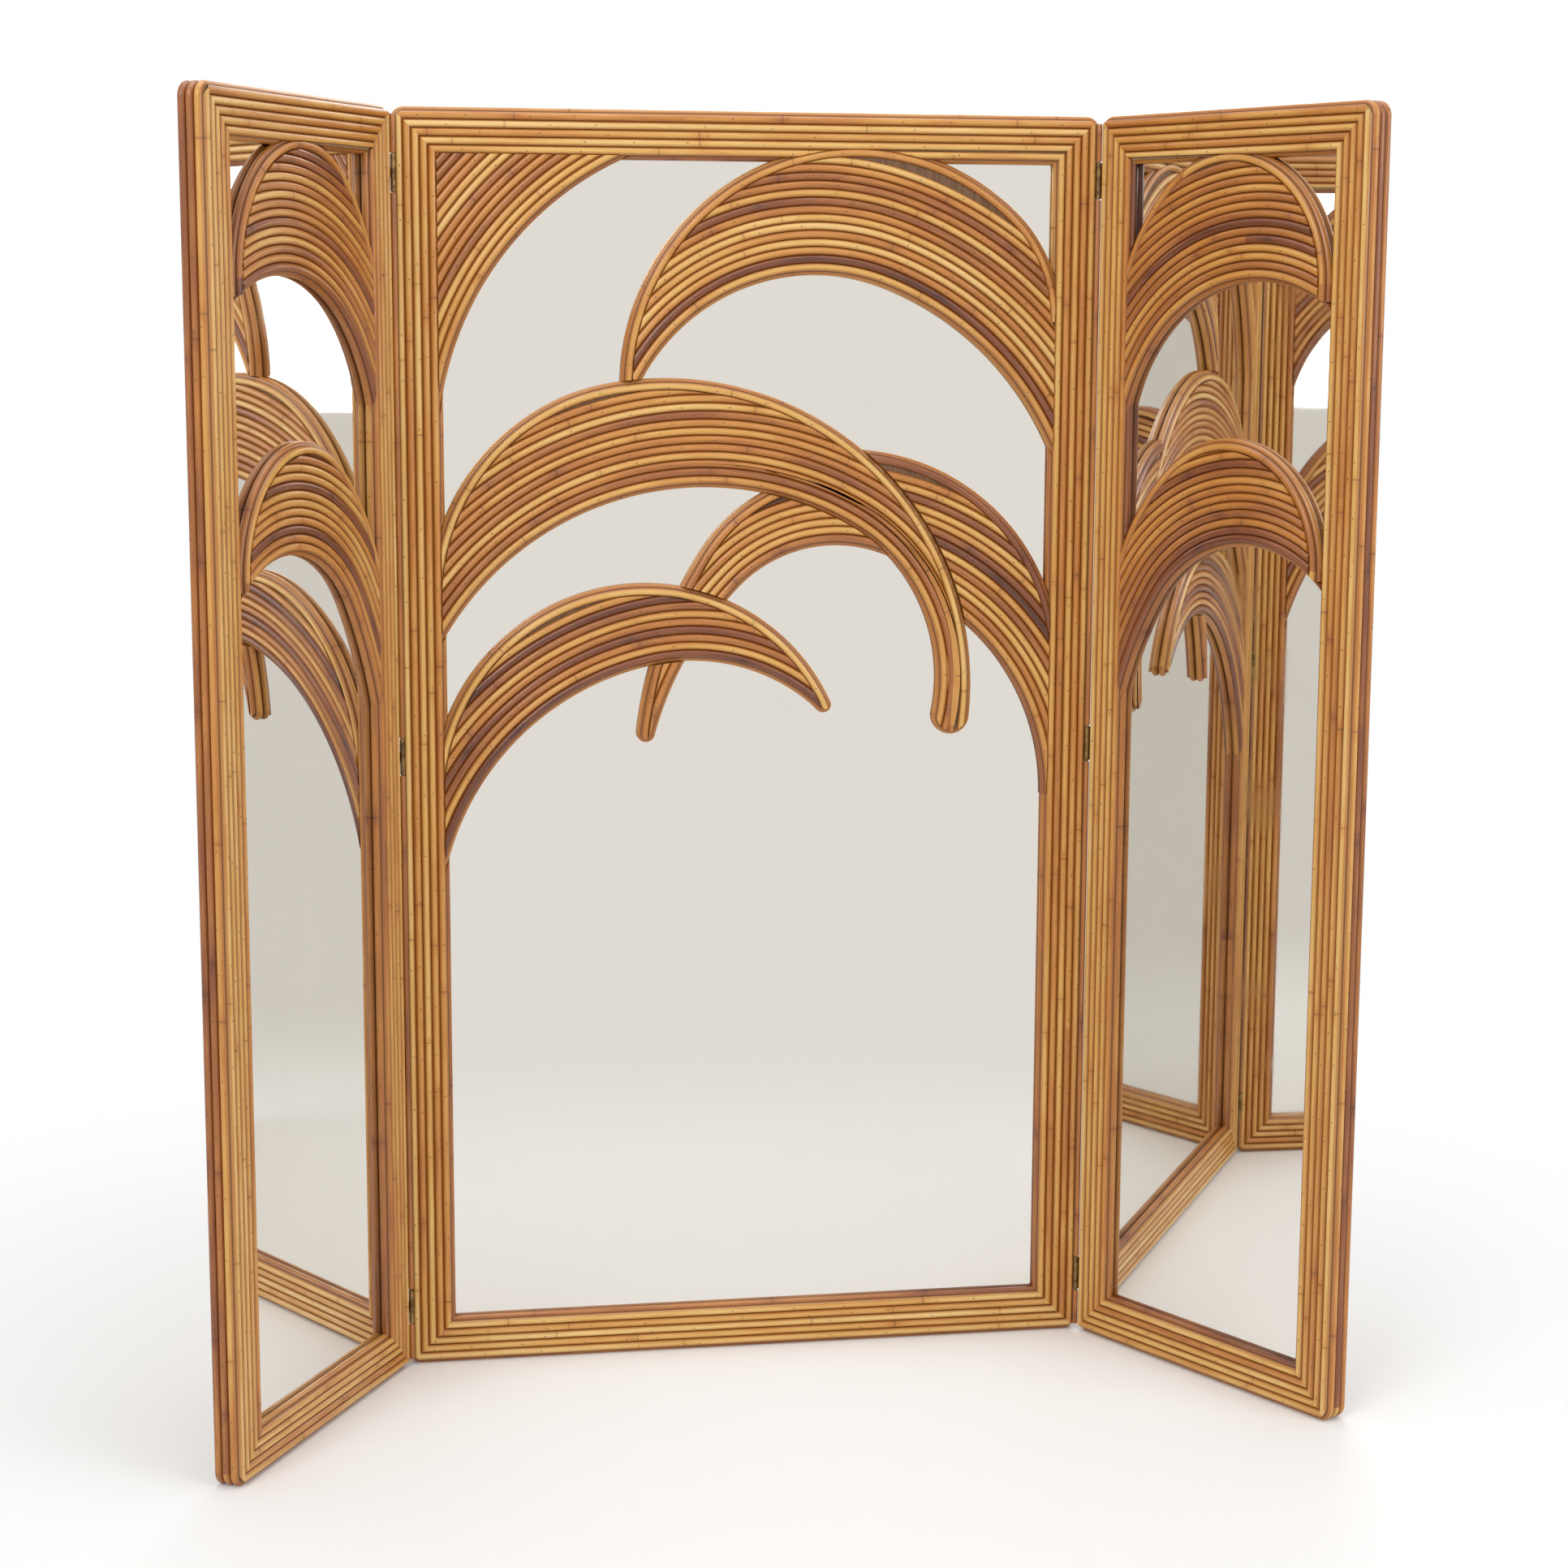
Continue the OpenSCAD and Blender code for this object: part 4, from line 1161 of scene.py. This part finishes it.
@dataclass(frozen=True)
class TimberFinish(Finish):
    """Sawn and oiled timber, or the face of a plywood board."""

    light: Colour = (0.46, 0.29, 0.14)
    deep: Colour = (0.30, 0.16, 0.07)
    roughness: tuple[float, float] = (0.5, 0.72)
    pore: Colour = (0.12, 0.06, 0.03)
    pores: float = 0.4
    clouds: float = 0.35
    upright: bool = True

    def build(self) -> bpy.types.Material:
        """Makes the material.

        Returns:
            The finished material.
        """
        material, n, shader = self.start()
        where = n.surface()
        if not self.upright:
            where = n.add("ShaderNodeMapping",
                          {"Vector": where, "Rotation": (0, math.pi / 2, 0)}).outputs[0]
        grain, pores, tone = n.group("timber_grain", Vector=where)
        smear, _ = n.group("handling_wear", Vector=where, Amount=0.8)
        colour = n.mix(grain, self.light, self.deep)
        colour = n.mix(n.times(pores, self.pores), colour, self.pore)
        colour = n.mix(n.times(tone, self.clouds), colour, shade_of(self.deep, 0.75))
        rough = n.plus(n.band(grain, 0.0, 1.0, *self.roughness), n.times(smear, -0.1))
        height = n.plus(grain, n.times(pores, -1.0))
        n.feed(shader, {"Base Color": colour, "Roughness": rough,
                        "Normal": n.bump(height, 0.35, 0.0004)})
        return material


@dataclass(frozen=True)
class MirrorFinish(Finish):
    """Silvered glass with a faint warm cast and a few smears."""

    silver: Colour = (0.825, 0.815, 0.785)
    roughness: tuple[float, float] = (0.012, 0.045)
    ripple: float = 0.00002

    def build(self) -> bpy.types.Material:
        """Makes the material.

        Returns:
            The finished material.
        """
        material, n, shader = self.start()
        where = n.surface()
        smear, _ = n.group("handling_wear", Vector=where, Amount=1.0)
        n.feed(shader, {
            "Base Color": n.mix(n.times(smear, 0.25), self.silver, shade_of(self.silver, 0.95)),
            "Metallic": 1.0, "Roughness": n.band(smear, 0.0, 1.0, *self.roughness),
            "Normal": n.bump(n.noise(where, 3.0, 1.0), 0.2, self.ripple)})
        return material


@dataclass(frozen=True)
class MetalFinish(Finish):
    """Handled metal: brass, darkened partly for its age and partly as painted shade of the hinge
    gaps, or zinc.
    """

    # these brass colours are darkened as painted shade of the gaps the hinges sit in; the patches
    # between them are patina
    clean: Colour = (0.30, 0.20, 0.085)
    aged: Colour = (0.10, 0.062, 0.032)
    roughness: tuple[float, float] = (0.34, 0.6)

    def build(self) -> bpy.types.Material:
        """Makes the material.

        Returns:
            The finished material.
        """
        material, n, shader = self.start()
        where = n.surface()
        _, scratch = n.group("handling_wear", Vector=where, Amount=1.0)
        cloud = n.noise(where, 70.0, 4.0, 0.6)
        colour = n.mix(n.band(cloud, 0.4, 0.68), self.clean, self.aged)
        colour = n.mix(n.times(scratch, 0.6), colour, shade_of(self.clean, 1.3))
        n.feed(shader, {"Base Color": colour, "Metallic": 1.0,
                        "Roughness": n.band(cloud, 0.3, 0.75, *self.roughness),
                        "Normal": n.bump(n.plus(cloud, scratch), 0.25, 0.0003)})
        return material


class Finishes:
    """All of the screen's finishes, built once."""

    def __init__(self) -> None:
        """Makes the shared groups and every material."""
        growth_group()
        grain_group()
        wear_group()
        self.reed = ReedFinish("varnished_reed").build()
        self.fan_board = TimberFinish("stained_ply", (0.22, 0.11, 0.045), (0.12, 0.055, 0.022),
                                      (0.5, 0.7)).build()
        self.timber = TimberFinish("oiled_stile").build()
        self.rail = TimberFinish("oiled_rail", upright=False).build()
        self.back = TimberFinish("plywood_back", (0.42, 0.28, 0.15), (0.31, 0.19, 0.09),
                                 (0.6, 0.82)).build()
        self.mirror = MirrorFinish("silvered_glass").build()
        # brass darkened with painted shade of the hinge gaps
        self.brass = MetalFinish("shaded_aged_brass").build()
        self.zinc = MetalFinish("zinc_screw", (0.58, 0.58, 0.56), (0.30, 0.30, 0.30)).build()


# Panels


def dress_node(name: str, material: bpy.types.Material) -> None:
    """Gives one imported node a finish.

    Args:
        name: The node.
        material: Its finish.
    """
    data = FRAME["nodes"][name].data
    data.materials.clear()
    data.materials.append(material)
    log.info("%s: dressed with %s", name, material.name)


@dataclass
class Cladding:
    """What the centre panel and the wings are clad with alike."""

    panel: Panel
    finishes: Finishes
    seed: int

    @property
    def hinged_twice(self) -> bool:
        """Whether both of its upright edges carry hinges."""
        return self.panel is Panel.CENTRE

    def bed(self, part: str, shade: Shade, step: int) -> ReedBed:
        """Starts the bed of reeds of one of this panel's nodes."""
        return ReedBed(self.panel.prefix + part, self.panel, shade, self.seed * 100 + step)

    def near(self, x: Points, y: Points) -> dict[Member, np.ndarray]:
        """How far points lie from the outer edge of each member."""
        return {Member.LEFT: x, Member.RIGHT: self.panel.width - x,
                Member.TOP: PANEL_H - y, Member.BOTTOM: y}

    def run(self, side: Member, at: float, start: float) -> Path:
        """Draws a straight run beside an outer edge.

        Args:
            side: The member that has the edge.
            at: How far from the edge it runs.
            start: How far from the ends of the edge it starts and stops.

        Returns:
            The run.
        """
        w, h = self.panel.width, PANEL_H
        return Path(({Member.LEFT: Line(at, start, at, h - start),
                      Member.RIGHT: Line(w - at, start, w - at, h - start),
                      Member.TOP: Line(start, h - at, w - start, h - at),
                      Member.BOTTOM: Line(start, at, w - start, at)}[side],))

    def member(self, bed: ReedBed, side: Member, cut: Inside | None = None) -> None:
        """Lays the face reeds of one mitred frame member.

        Args:
            bed: Where they go.
            side: The member.
            cut: What lies over it, and stops its reeds.
        """
        w, h, r = self.panel.width, PANEL_H, CORNER_R

        def inside(x: Points, y: Points) -> np.ndarray:
            """Tests points against the member, its mitres and its rounded corners.

            Args:
                x: Their places across.
                y: Their heights.

            Returns:
                Which of them may be covered.
            """
            near = self.near(x, y)
            mine = near[side]
            out = (mine >= 0) & (mine <= FRAME_W)
            for other in Member:
                if other.upright is not side.upright:
                    out &= near[other] >= mine
            cx, cy = np.minimum(x, w - x), np.minimum(y, h - y)
            out &= ~((cx < r) & (cy < r) & (np.hypot(r - cx, r - cy) > r))
            return out if cut is None else out & ~cut(x, y)

        for k in range(FACE_REEDS):
            bed.lay(self.run(side, (k + 0.5) * REED, 0), inside=inside)

    def lip(self, bed: ReedBed, side: Member, cut: Inside | None = None) -> None:
        """Lines the inner edge of one frame member.

        Args:
            bed: Where the reed goes.
            side: The member.
            cut: What lies over it, and stops its reed.
        """

        def inside(x: Points, y: Points) -> np.ndarray:
            """Tests points against the lip and its mitres.

            Args:
                x: Their places across.
                y: Their heights.

            Returns:
                Which of them may be covered.
            """
            near = self.near(x, y)
            out = np.ones(x.shape, bool)
            for other in Member:
                if other is not side:
                    out &= near[other] >= near[side] - MITRE_SLACK
            return out if cut is None else out & ~cut(x, y)

        bulge = Bulge.RIGHT if side in (Member.LEFT, Member.TOP) else Bulge.LEFT
        bed.lay(self.run(side, FRAME_W, FRAME_W), bulge, LINING_Z, inside)

    def edging(self, bed: ReedBed, legs: Sequence[Arc | Line]) -> None:
        """Lays the reeds of an outer edge, from the front to the back.

        Args:
            bed: Where they go.
            legs: The edge, which they follow, planed where hinges or the floor are.
        """
        far = self.panel.width + (LEAF_T if self.hinged_twice else REED)
        for k in range(EDGE_REEDS):
            bed.lay(Path(tuple(legs)), Bulge.LEFT, -(k + 0.5) * REED,
                    limits=(-LEAF_T, far, -FOOT_H))

    def edges(self, bed: ReedBed) -> None:
        """Lays the edge reeds over the top and, on a wing, down its outer edge.

        Args:
            bed: Where they go.
        """
        w, h, r = self.panel.width, PANEL_H, CORNER_R
        legs = [Arc(r, h - r, r, 180, 90), Line(r, h, w - r, h), Arc(w - r, h - r, r, 90, 0)]
        if not self.hinged_twice:
            legs.append(Line(w, h - r, w, r))
        self.edging(bed, legs)
        for x in (-LEAF_T, w)[:2 if self.hinged_twice else 1]:
            self.facing(bed, x)

    def facing(self, bed: ReedBed, x: float) -> None:
        """Adds the thin strip on a hinged edge, let in round the leaves.

        Args:
            bed: Where it goes.
            x: Its lower face across the panel.
        """
        across, half, y = (x, x + LEAF_T), HINGE_H / 2 + LEAF_GAP, CORNER_R
        for place in HINGE_PLACES:
            bed.strip(across, (y, place - half), (-PANEL_D, 0))
            bed.strip(across, (place - half, place + half), (-PANEL_D, -LEAF_W - LEAF_GAP))
            y = place + half
        bed.strip(across, (y, PANEL_H - CORNER_R), (-PANEL_D, 0))

    def feet(self, bed: ReedBed) -> None:
        """Lays the reeds under the bottom edge, planed flat for the floor."""
        w, r = self.panel.width, CORNER_R
        self.edging(bed, (Arc(w - r, r, r, 0, -90), Line(w - r, 0, r, 0), Arc(r, r, r, 270, 180)))

    def dress(self, stiles: Sequence[str]) -> None:
        """Gives the panel's plain nodes their finishes.

        Args:
            stiles: Its stiles' names.
        """
        f = self.finishes
        parts = {**dict.fromkeys((*stiles, "battens"), f.timber),
                 "rail_top": f.rail, "rail_bottom": f.rail, "mirror": f.mirror,
                 "back_board": f.back, "hinge_leaves": f.brass, "screws": f.zinc}
        for part, material in parts.items():
            dress_node(self.panel.prefix + part, material)


@dataclass(frozen=True)
class FanReeds:
    """How a fan's reeds are laid and coloured; rows count from the inner curve."""

    fan: Fan
    area: Callable[..., np.ndarray]
    rows: dict[int, float] = field(default_factory=dict)
    rim: float | None = None
    lining: float | None = None

    def lay(self, bed: ReedBed) -> None:
        """Lays the rows, the rim reed and the lining of the board.

        Args:
            bed: Where they go.
        """
        fan, area = self.fan, self.area
        start, end = fan.rim_from + ROW_RUN_ON, fan.rim_to - ROW_RUN_ON
        for k in range(fan.rows):
            bed.lay(fan.inner.path(start, end, (k + 0.5) * REED),
                    inside=lambda x, y: area(x, y) & fan.within_rim(x, y),
                    tint=self.rows.get(k))
        bed.lay(fan.rim.path(fan.rim_from, fan.rim_to, -REED / 2), inside=area, tint=self.rim)
        rim_start, rim_end = fan.rim_from, fan.rim_to
        if fan.tip is not None:
            cx, cy, r, from_inner = fan.tip_round()
            turn = fan.tip.turn
            if fan.tip.turned:
                rim_start, start = turn, from_inner
                ring = Arc(cx, cy, r, turn + 180, turn)
            else:
                rim_end, end = turn, from_inner
                ring = Arc(cx, cy, r, turn, turn - 180)
            bed.lay(Path((ring,)), Bulge.LEFT, LINING_Z, tint=self.lining)
        self.line(bed, fan.rim.path(rim_start, rim_end), Bulge.LEFT)
        self.line(bed, fan.inner.path(start, end), Bulge.RIGHT)
        if fan.side is Side.BOTH:
            self.close(bed)

    def line(self, bed: ReedBed, path: Path, bulge: Bulge) -> None:
        """Lines one edge of the board.

        Args:
            bed: Where the reed goes.
            path: The edge.
            bulge: The way out of the board.
        """
        far = self.fan.width - FRAME_W

        def opening(x: Points, y: Points) -> np.ndarray:
            """Which points it may cover."""
            return (self.area(x, y, REED_R + LINING_SLACK)
                    & block(x, y, FRAME_W, 0, far, PANEL_H - FRAME_W))

        bed.lay(path, bulge, LINING_Z, opening, self.lining)

    def close(self, bed: ReedBed) -> None:
        """Ends a wing's fan with an upright rim reed and its lining.

        Args:
            bed: Where they go.
        """
        (rx, high, rr), (ix, iy, ir) = self.fan.rim.b, self.fan.inner.b
        x = rx + rr
        low = iy + math.sqrt(ir ** 2 - (x - ix) ** 2)
        bed.lay(Path((Line(x - REED / 2, high, x - REED / 2, low, STRAIGHT_STEP),)),
                inside=self.area, tint=self.rim)
        bed.lay(Path((Line(x, high, x, low, STRAIGHT_STEP),)), Bulge.LEFT, LINING_Z,
                tint=self.lining)


@dataclass
class CentrePanel(Cladding):
    """The wide panel, with five fans over its glass."""

    def build(self) -> None:
        """Lays all of its reeds."""
        self.frame()
        self.corner()
        self.fans()

    def frame(self) -> None:
        """Lays the reeds of its frame."""
        reed = self.finishes.reed
        bed = self.bed("stile_reeds", Shade(0.38, 0.09, 0.0), 1)
        self.member(bed, Member.LEFT)
        self.member(bed, Member.RIGHT)
        self.covers(bed)
        bed.finish(reed, "reed_amber")
        bed = self.bed("rail_reeds", Shade(0.28, 0.09, 0.0), 2)
        self.member(bed, Member.TOP, top_area)
        self.member(bed, Member.BOTTOM)
        bed.finish(reed, "reed_amber")
        bed = self.bed("edge_reeds", Shade(0.48), 3)
        self.edges(bed)
        bed.finish(reed, "reed_dark")
        bed = self.bed("foot_reeds", Shade(0.48), 4)
        self.feet(bed)
        bed.finish(reed, "reed_dark")
        bed = self.bed("lip_reeds", Shade(0.5), 5)
        for side, areas in ((Member.LEFT, (corner_area, LOWER.area, MIDDLE.area)),
                            (Member.RIGHT, (top_area, right_area)),
                            (Member.TOP, (corner_area, top_area))):
            self.lip(bed, side, lambda x, y: np.any([area(x, y, REED_R) for area in areas], 0))
        self.lip(bed, Member.BOTTOM)
        bed.finish(reed, "reed_dark")

    def covers(self, bed: ReedBed) -> None:
        """Closes the gap beside each wing with a reed on the hinges' line.

        Args:
            bed: Where the reeds go.
        """
        lows = (COVER_END, *(place + COVER_STOP for place in HINGE_PLACES))
        highs = (*(place - COVER_STOP for place in HINGE_PLACES), PANEL_H - COVER_END)
        for x in (-PIN_SIDE, CENTRE_W + PIN_SIDE):
            for low, high in zip(lows, highs):
                tint = COVER_TINT + float(bed.rng.uniform(-COVER_SPREAD, COVER_SPREAD))
                bed.rod(x, PIN_FRONT, low, high, tint)

    def corner(self) -> None:
        """Lays the corner fan, whose reeds darken towards the corner."""
        bed = ReedBed("corner_fan_reeds", self.panel, Shade(0.4), 25)
        hx, hy, r = CORNER_INNER.a
        far = math.hypot(hx - FRAME_W, PANEL_H - FRAME_W - hy)
        rows = math.ceil((far - r) / REED)
        for k in range(rows):
            bed.lay(Path((Arc(hx, hy, r + (k + 0.5) * REED, 180, 90),)), inside=corner_block,
                    tint=self.corner_tint(k, rows) + float(bed.rng.normal(0, CORNER_SPREAD)))
        bed.lay(Path((Arc(hx, hy, r, 180, 90),)), Bulge.RIGHT, LINING_Z, corner_block,
                tint=0.55)
        bed.finish(self.finishes.reed, "reed_amber")

    def corner_tint(self, row: int, rows: int) -> float:
        """Colours one of the corner fan's rows: honey, a dark belt, two pale ones, dark.

        Args:
            row: The row, counted from the inner curve.
            rows: How many there are.

        Returns:
            Its tint.
        """
        honey, pale, belt, deepening = 0.34, 0.26, 0.48, 0.2
        if row in (rows // 2, rows // 2 + 1):
            return pale
        return honey if row < 3 else belt + deepening * row / rows

    def fans(self) -> None:
        """Lays its four open fans."""
        fans = (
            ("top", "reed_amber", Shade(0.37, 0.16, 0.10),
             FanReeds(TOP, top_area, {0: 0.4, 10: 0.62, 11: 0.7}, rim=0.45, lining=0.42)),
            ("middle", "reed_amber", Shade(0.34, 0.15, 0.08),
             FanReeds(MIDDLE, MIDDLE.area, {0: 0.42, 1: 0.66}, rim=0.2, lining=0.42)),
            ("right", "reed_dark", Shade(0.42, 0.17, 0.14),
             FanReeds(RIGHT, right_area, rim=0.74, lining=0.6),
             FanReeds(TAIL, tail_area, {0: 0.6, 1: 0.36, 2: 0.3}, rim=0.58, lining=0.45)),
            ("lower", "reed_amber", Shade(0.49, 0.19, 0.16),
             FanReeds(LOWER, LOWER.area, {0: 0.86, 1: 0.4, 3: 0.78, 6: 0.7}, rim=0.24,
                      lining=0.45)))
        for seed, (name, slot, shade, *parts) in enumerate(fans, 21):
            bed = ReedBed(name + "_fan_reeds", self.panel, shade, seed)
            for part in parts:
                part.lay(bed)
            bed.finish(self.finishes.reed, slot)

    def dress_nodes(self) -> None:
        """Gives its boards, glass and fittings their finishes."""
        self.dress(("stile_left", "stile_right"))
        for fan in ("corner", "top", "middle", "right", "lower"):
            dress_node(fan + "_fan_board", self.finishes.fan_board)
        dress_node("hinge_pins", self.finishes.brass)


@dataclass
class Wing(Cladding):
    """A narrow panel, with two fans over its glass."""

    def build(self) -> None:
        """Lays all of its reeds."""
        reed = self.finishes.reed
        upper, lower = WING_UPPER.area, WING_LOWER.area
        bed = self.bed("frame_reeds", Shade(0.34, 0.10, 0.0), 1)
        for side in (Member.LEFT, Member.RIGHT, Member.BOTTOM):
            self.member(bed, side)
        self.member(bed, Member.TOP, upper)
        bed.finish(reed, "reed_amber")
        bed = self.bed("edge_reeds", Shade(0.5), 2)
        self.edges(bed)
        bed.finish(reed, "reed_dark")
        bed = self.bed("foot_reeds", Shade(0.5), 3)
        self.feet(bed)
        bed.finish(reed, "reed_dark")
        bed = self.bed("lip_reeds", Shade(0.55), 4)
        for side in Member:
            self.lip(bed, side, lambda x, y: upper(x, y, REED_R) | lower(x, y, REED_R))
        bed.finish(reed, "reed_dark")
        for step, (part, fan) in enumerate((("upper", WING_UPPER), ("lower", WING_LOWER)), 5):
            bed = self.bed(part + "_fan_reeds", Shade(0.50, 0.14, 0.08), step)
            FanReeds(fan, fan.area, lining=0.6).lay(bed)
            bed.finish(reed, "reed_amber")

    def dress_nodes(self) -> None:
        """Gives its boards, glass and fittings their finishes."""
        self.dress(("stile_hinged", "stile_outer"))
        for part in ("upper", "lower"):
            dress_node(f"{self.panel.prefix}{part}_fan_board", self.finishes.fan_board)


# Stage


@dataclass(frozen=True)
class Lamp:
    """A square soft lamp that faces a point, in metres and watts."""

    name: str
    place: tuple[float, float, float]
    aim: tuple[float, float, float]
    size: float
    power: float

    def hang(self) -> None:
        """Hangs it in the scene."""
        data = bpy.data.lights.new(self.name, "AREA")
        data.shape, data.size, data.energy = "SQUARE", self.size, self.power
        lamp = bpy.data.objects.new(self.name, data)
        lamp.location = self.place
        away = Vector(self.aim) - Vector(self.place)
        lamp.rotation_euler = away.to_track_quat("-Z", "Y").to_euler()
        bpy.context.scene.collection.objects.link(lamp)


LAMPS = (Lamp("key", (-3.2, -4.4, 4.4), (0.0, -0.2, 0.9), 3.0, 150.0),
         Lamp("fill", (3.6, -3.4, 2.6), (0.1, 0.0, 0.9), 3.0, 70.0),
         Lamp("crown", (0.0, -0.4, 4.6), (0.0, -0.2, 0.5), 3.0, 60.0),
         Lamp("back", (1.5, 4.0, 3.0), (0.0, 0.0, 0.9), 2.5, 60.0))


@dataclass
class Stage:
    """Floor, daylight, lamps and camera."""

    floor_size: float = 7.0
    floor_colour: Colour = (0.83, 0.828, 0.822)
    floor_fade: tuple[float, float] = (0.7, 1.9)
    mirrored: Colour = (0.90, 0.865, 0.825)
    ambient: float = 0.62
    sensor: float = 36.0
    lens: float = 67.77
    sight: float = 60.0
    camera_place: tuple[float, float, float] = (-0.65795, -4.20791, 1.53879)
    camera_turn: tuple[float, float, float] = (1.72677, -0.14084, 0.12652)

    def build(self) -> None:
        """Builds the whole stage."""
        self.world()
        self.floor()
        for lamp in LAMPS:
            lamp.hang()
        self.camera()

    def looked_at(self, n: Nodes) -> tuple[Socket, Socket]:
        """Tells a look, straight or in a mirror, from light.

        Args:
            n: The tree that asks.

        Returns:
            Whether it is a look, and the white that it then shows, which is
            warmer in the mirrors.
        """
        path = n.add("ShaderNodeLightPath").outputs
        seen = n.math("MAXIMUM", path["Is Camera Ray"],
                      n.math("MAXIMUM", path["Is Glossy Ray"], path["Is Transmission Ray"]))
        return seen, n.mix(path["Is Glossy Ray"], (1.0, 1.0, 1.0), self.mirrored)

    def world(self) -> None:
        """Soft daylight all round, and white where it is looked at."""
        world = bpy.data.worlds.new("studio")
        bpy.context.scene.world = world
        world.use_nodes = True
        world.node_tree.nodes.clear()
        n = Nodes(world.node_tree)
        seen, white = self.looked_at(n)
        strength = n.math("MULTIPLY_ADD", seen, 1.0 - self.ambient, self.ambient)
        light = n.add("ShaderNodeBackground", {"Color": white, "Strength": strength})
        n.add("ShaderNodeOutputWorld", {0: light.outputs[0]})

    def floor(self) -> None:
        """A plain pale floor, which fades to white round the screen."""
        bm = bmesh.new()
        bmesh.ops.create_grid(bm, x_segments=1, y_segments=1, size=self.floor_size)
        mesh = bpy.data.meshes.new("floor")
        bm.to_mesh(mesh)
        bm.free()
        material, n, shader = Finish("pale_floor").start()
        where = n.surface()
        n.feed(shader, {"Base Color": n.mix(n.noise(where, 1.3, 3.0), self.floor_colour,
                                            shade_of(self.floor_colour, 0.985)),
                        "Roughness": 0.6})
        seen, white = self.looked_at(n)
        far = n.add("ShaderNodeVectorMath", {0: where}, operation="LENGTH").outputs["Value"]
        glow = n.add("ShaderNodeEmission", {"Color": white, "Strength": 1.0})
        both = n.add("ShaderNodeMixShader", {0: n.times(seen, n.band(far, *self.floor_fade)),
                                             1: shader.outputs[0], 2: glow.outputs[0]})
        end = next(x for x in n.tree.nodes if x.type == "OUTPUT_MATERIAL")
        n.feed(end, {0: both.outputs[0]})
        mesh.materials.append(material)
        floor = bpy.data.objects.new("floor", mesh)
        bpy.context.scene.collection.objects.link(floor)

    def camera(self) -> None:
        """Sets the camera where the photograph was taken from."""
        data = bpy.data.cameras.new("camera")
        data.sensor_width, data.lens, data.clip_end = self.sensor, self.lens, self.sight
        camera = bpy.data.objects.new("camera", data)
        turn = Vector(self.camera_turn)
        seen = Quaternion(turn.normalized(), turn.length).to_matrix()
        flip = Matrix(((1, 0, 0), (0, -1, 0), (0, 0, -1)))
        camera.matrix_world = (Matrix.Translation(self.camera_place)
                               @ (flip @ seen).transposed().to_4x4())
        bpy.context.scene.collection.objects.link(camera)
        bpy.context.scene.camera = camera


def main() -> None:
    """Builds the screen, part by part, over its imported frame."""
    logging.basicConfig(level=logging.INFO, format="%(message)s")
    FRAME.update(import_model())
    bpy.context.scene.view_settings.view_transform = "Standard"
    finishes = Finishes()
    for part in (CentrePanel(Panel.CENTRE, finishes, 1), Wing(Panel.LEFT, finishes, 2),
                 Wing(Panel.RIGHT, finishes, 3)):
        part.build()
        part.dress_nodes()
        log.info("%s is clad", part.panel.value)
    Stage().build()


if __name__ == "__main__":
    main()
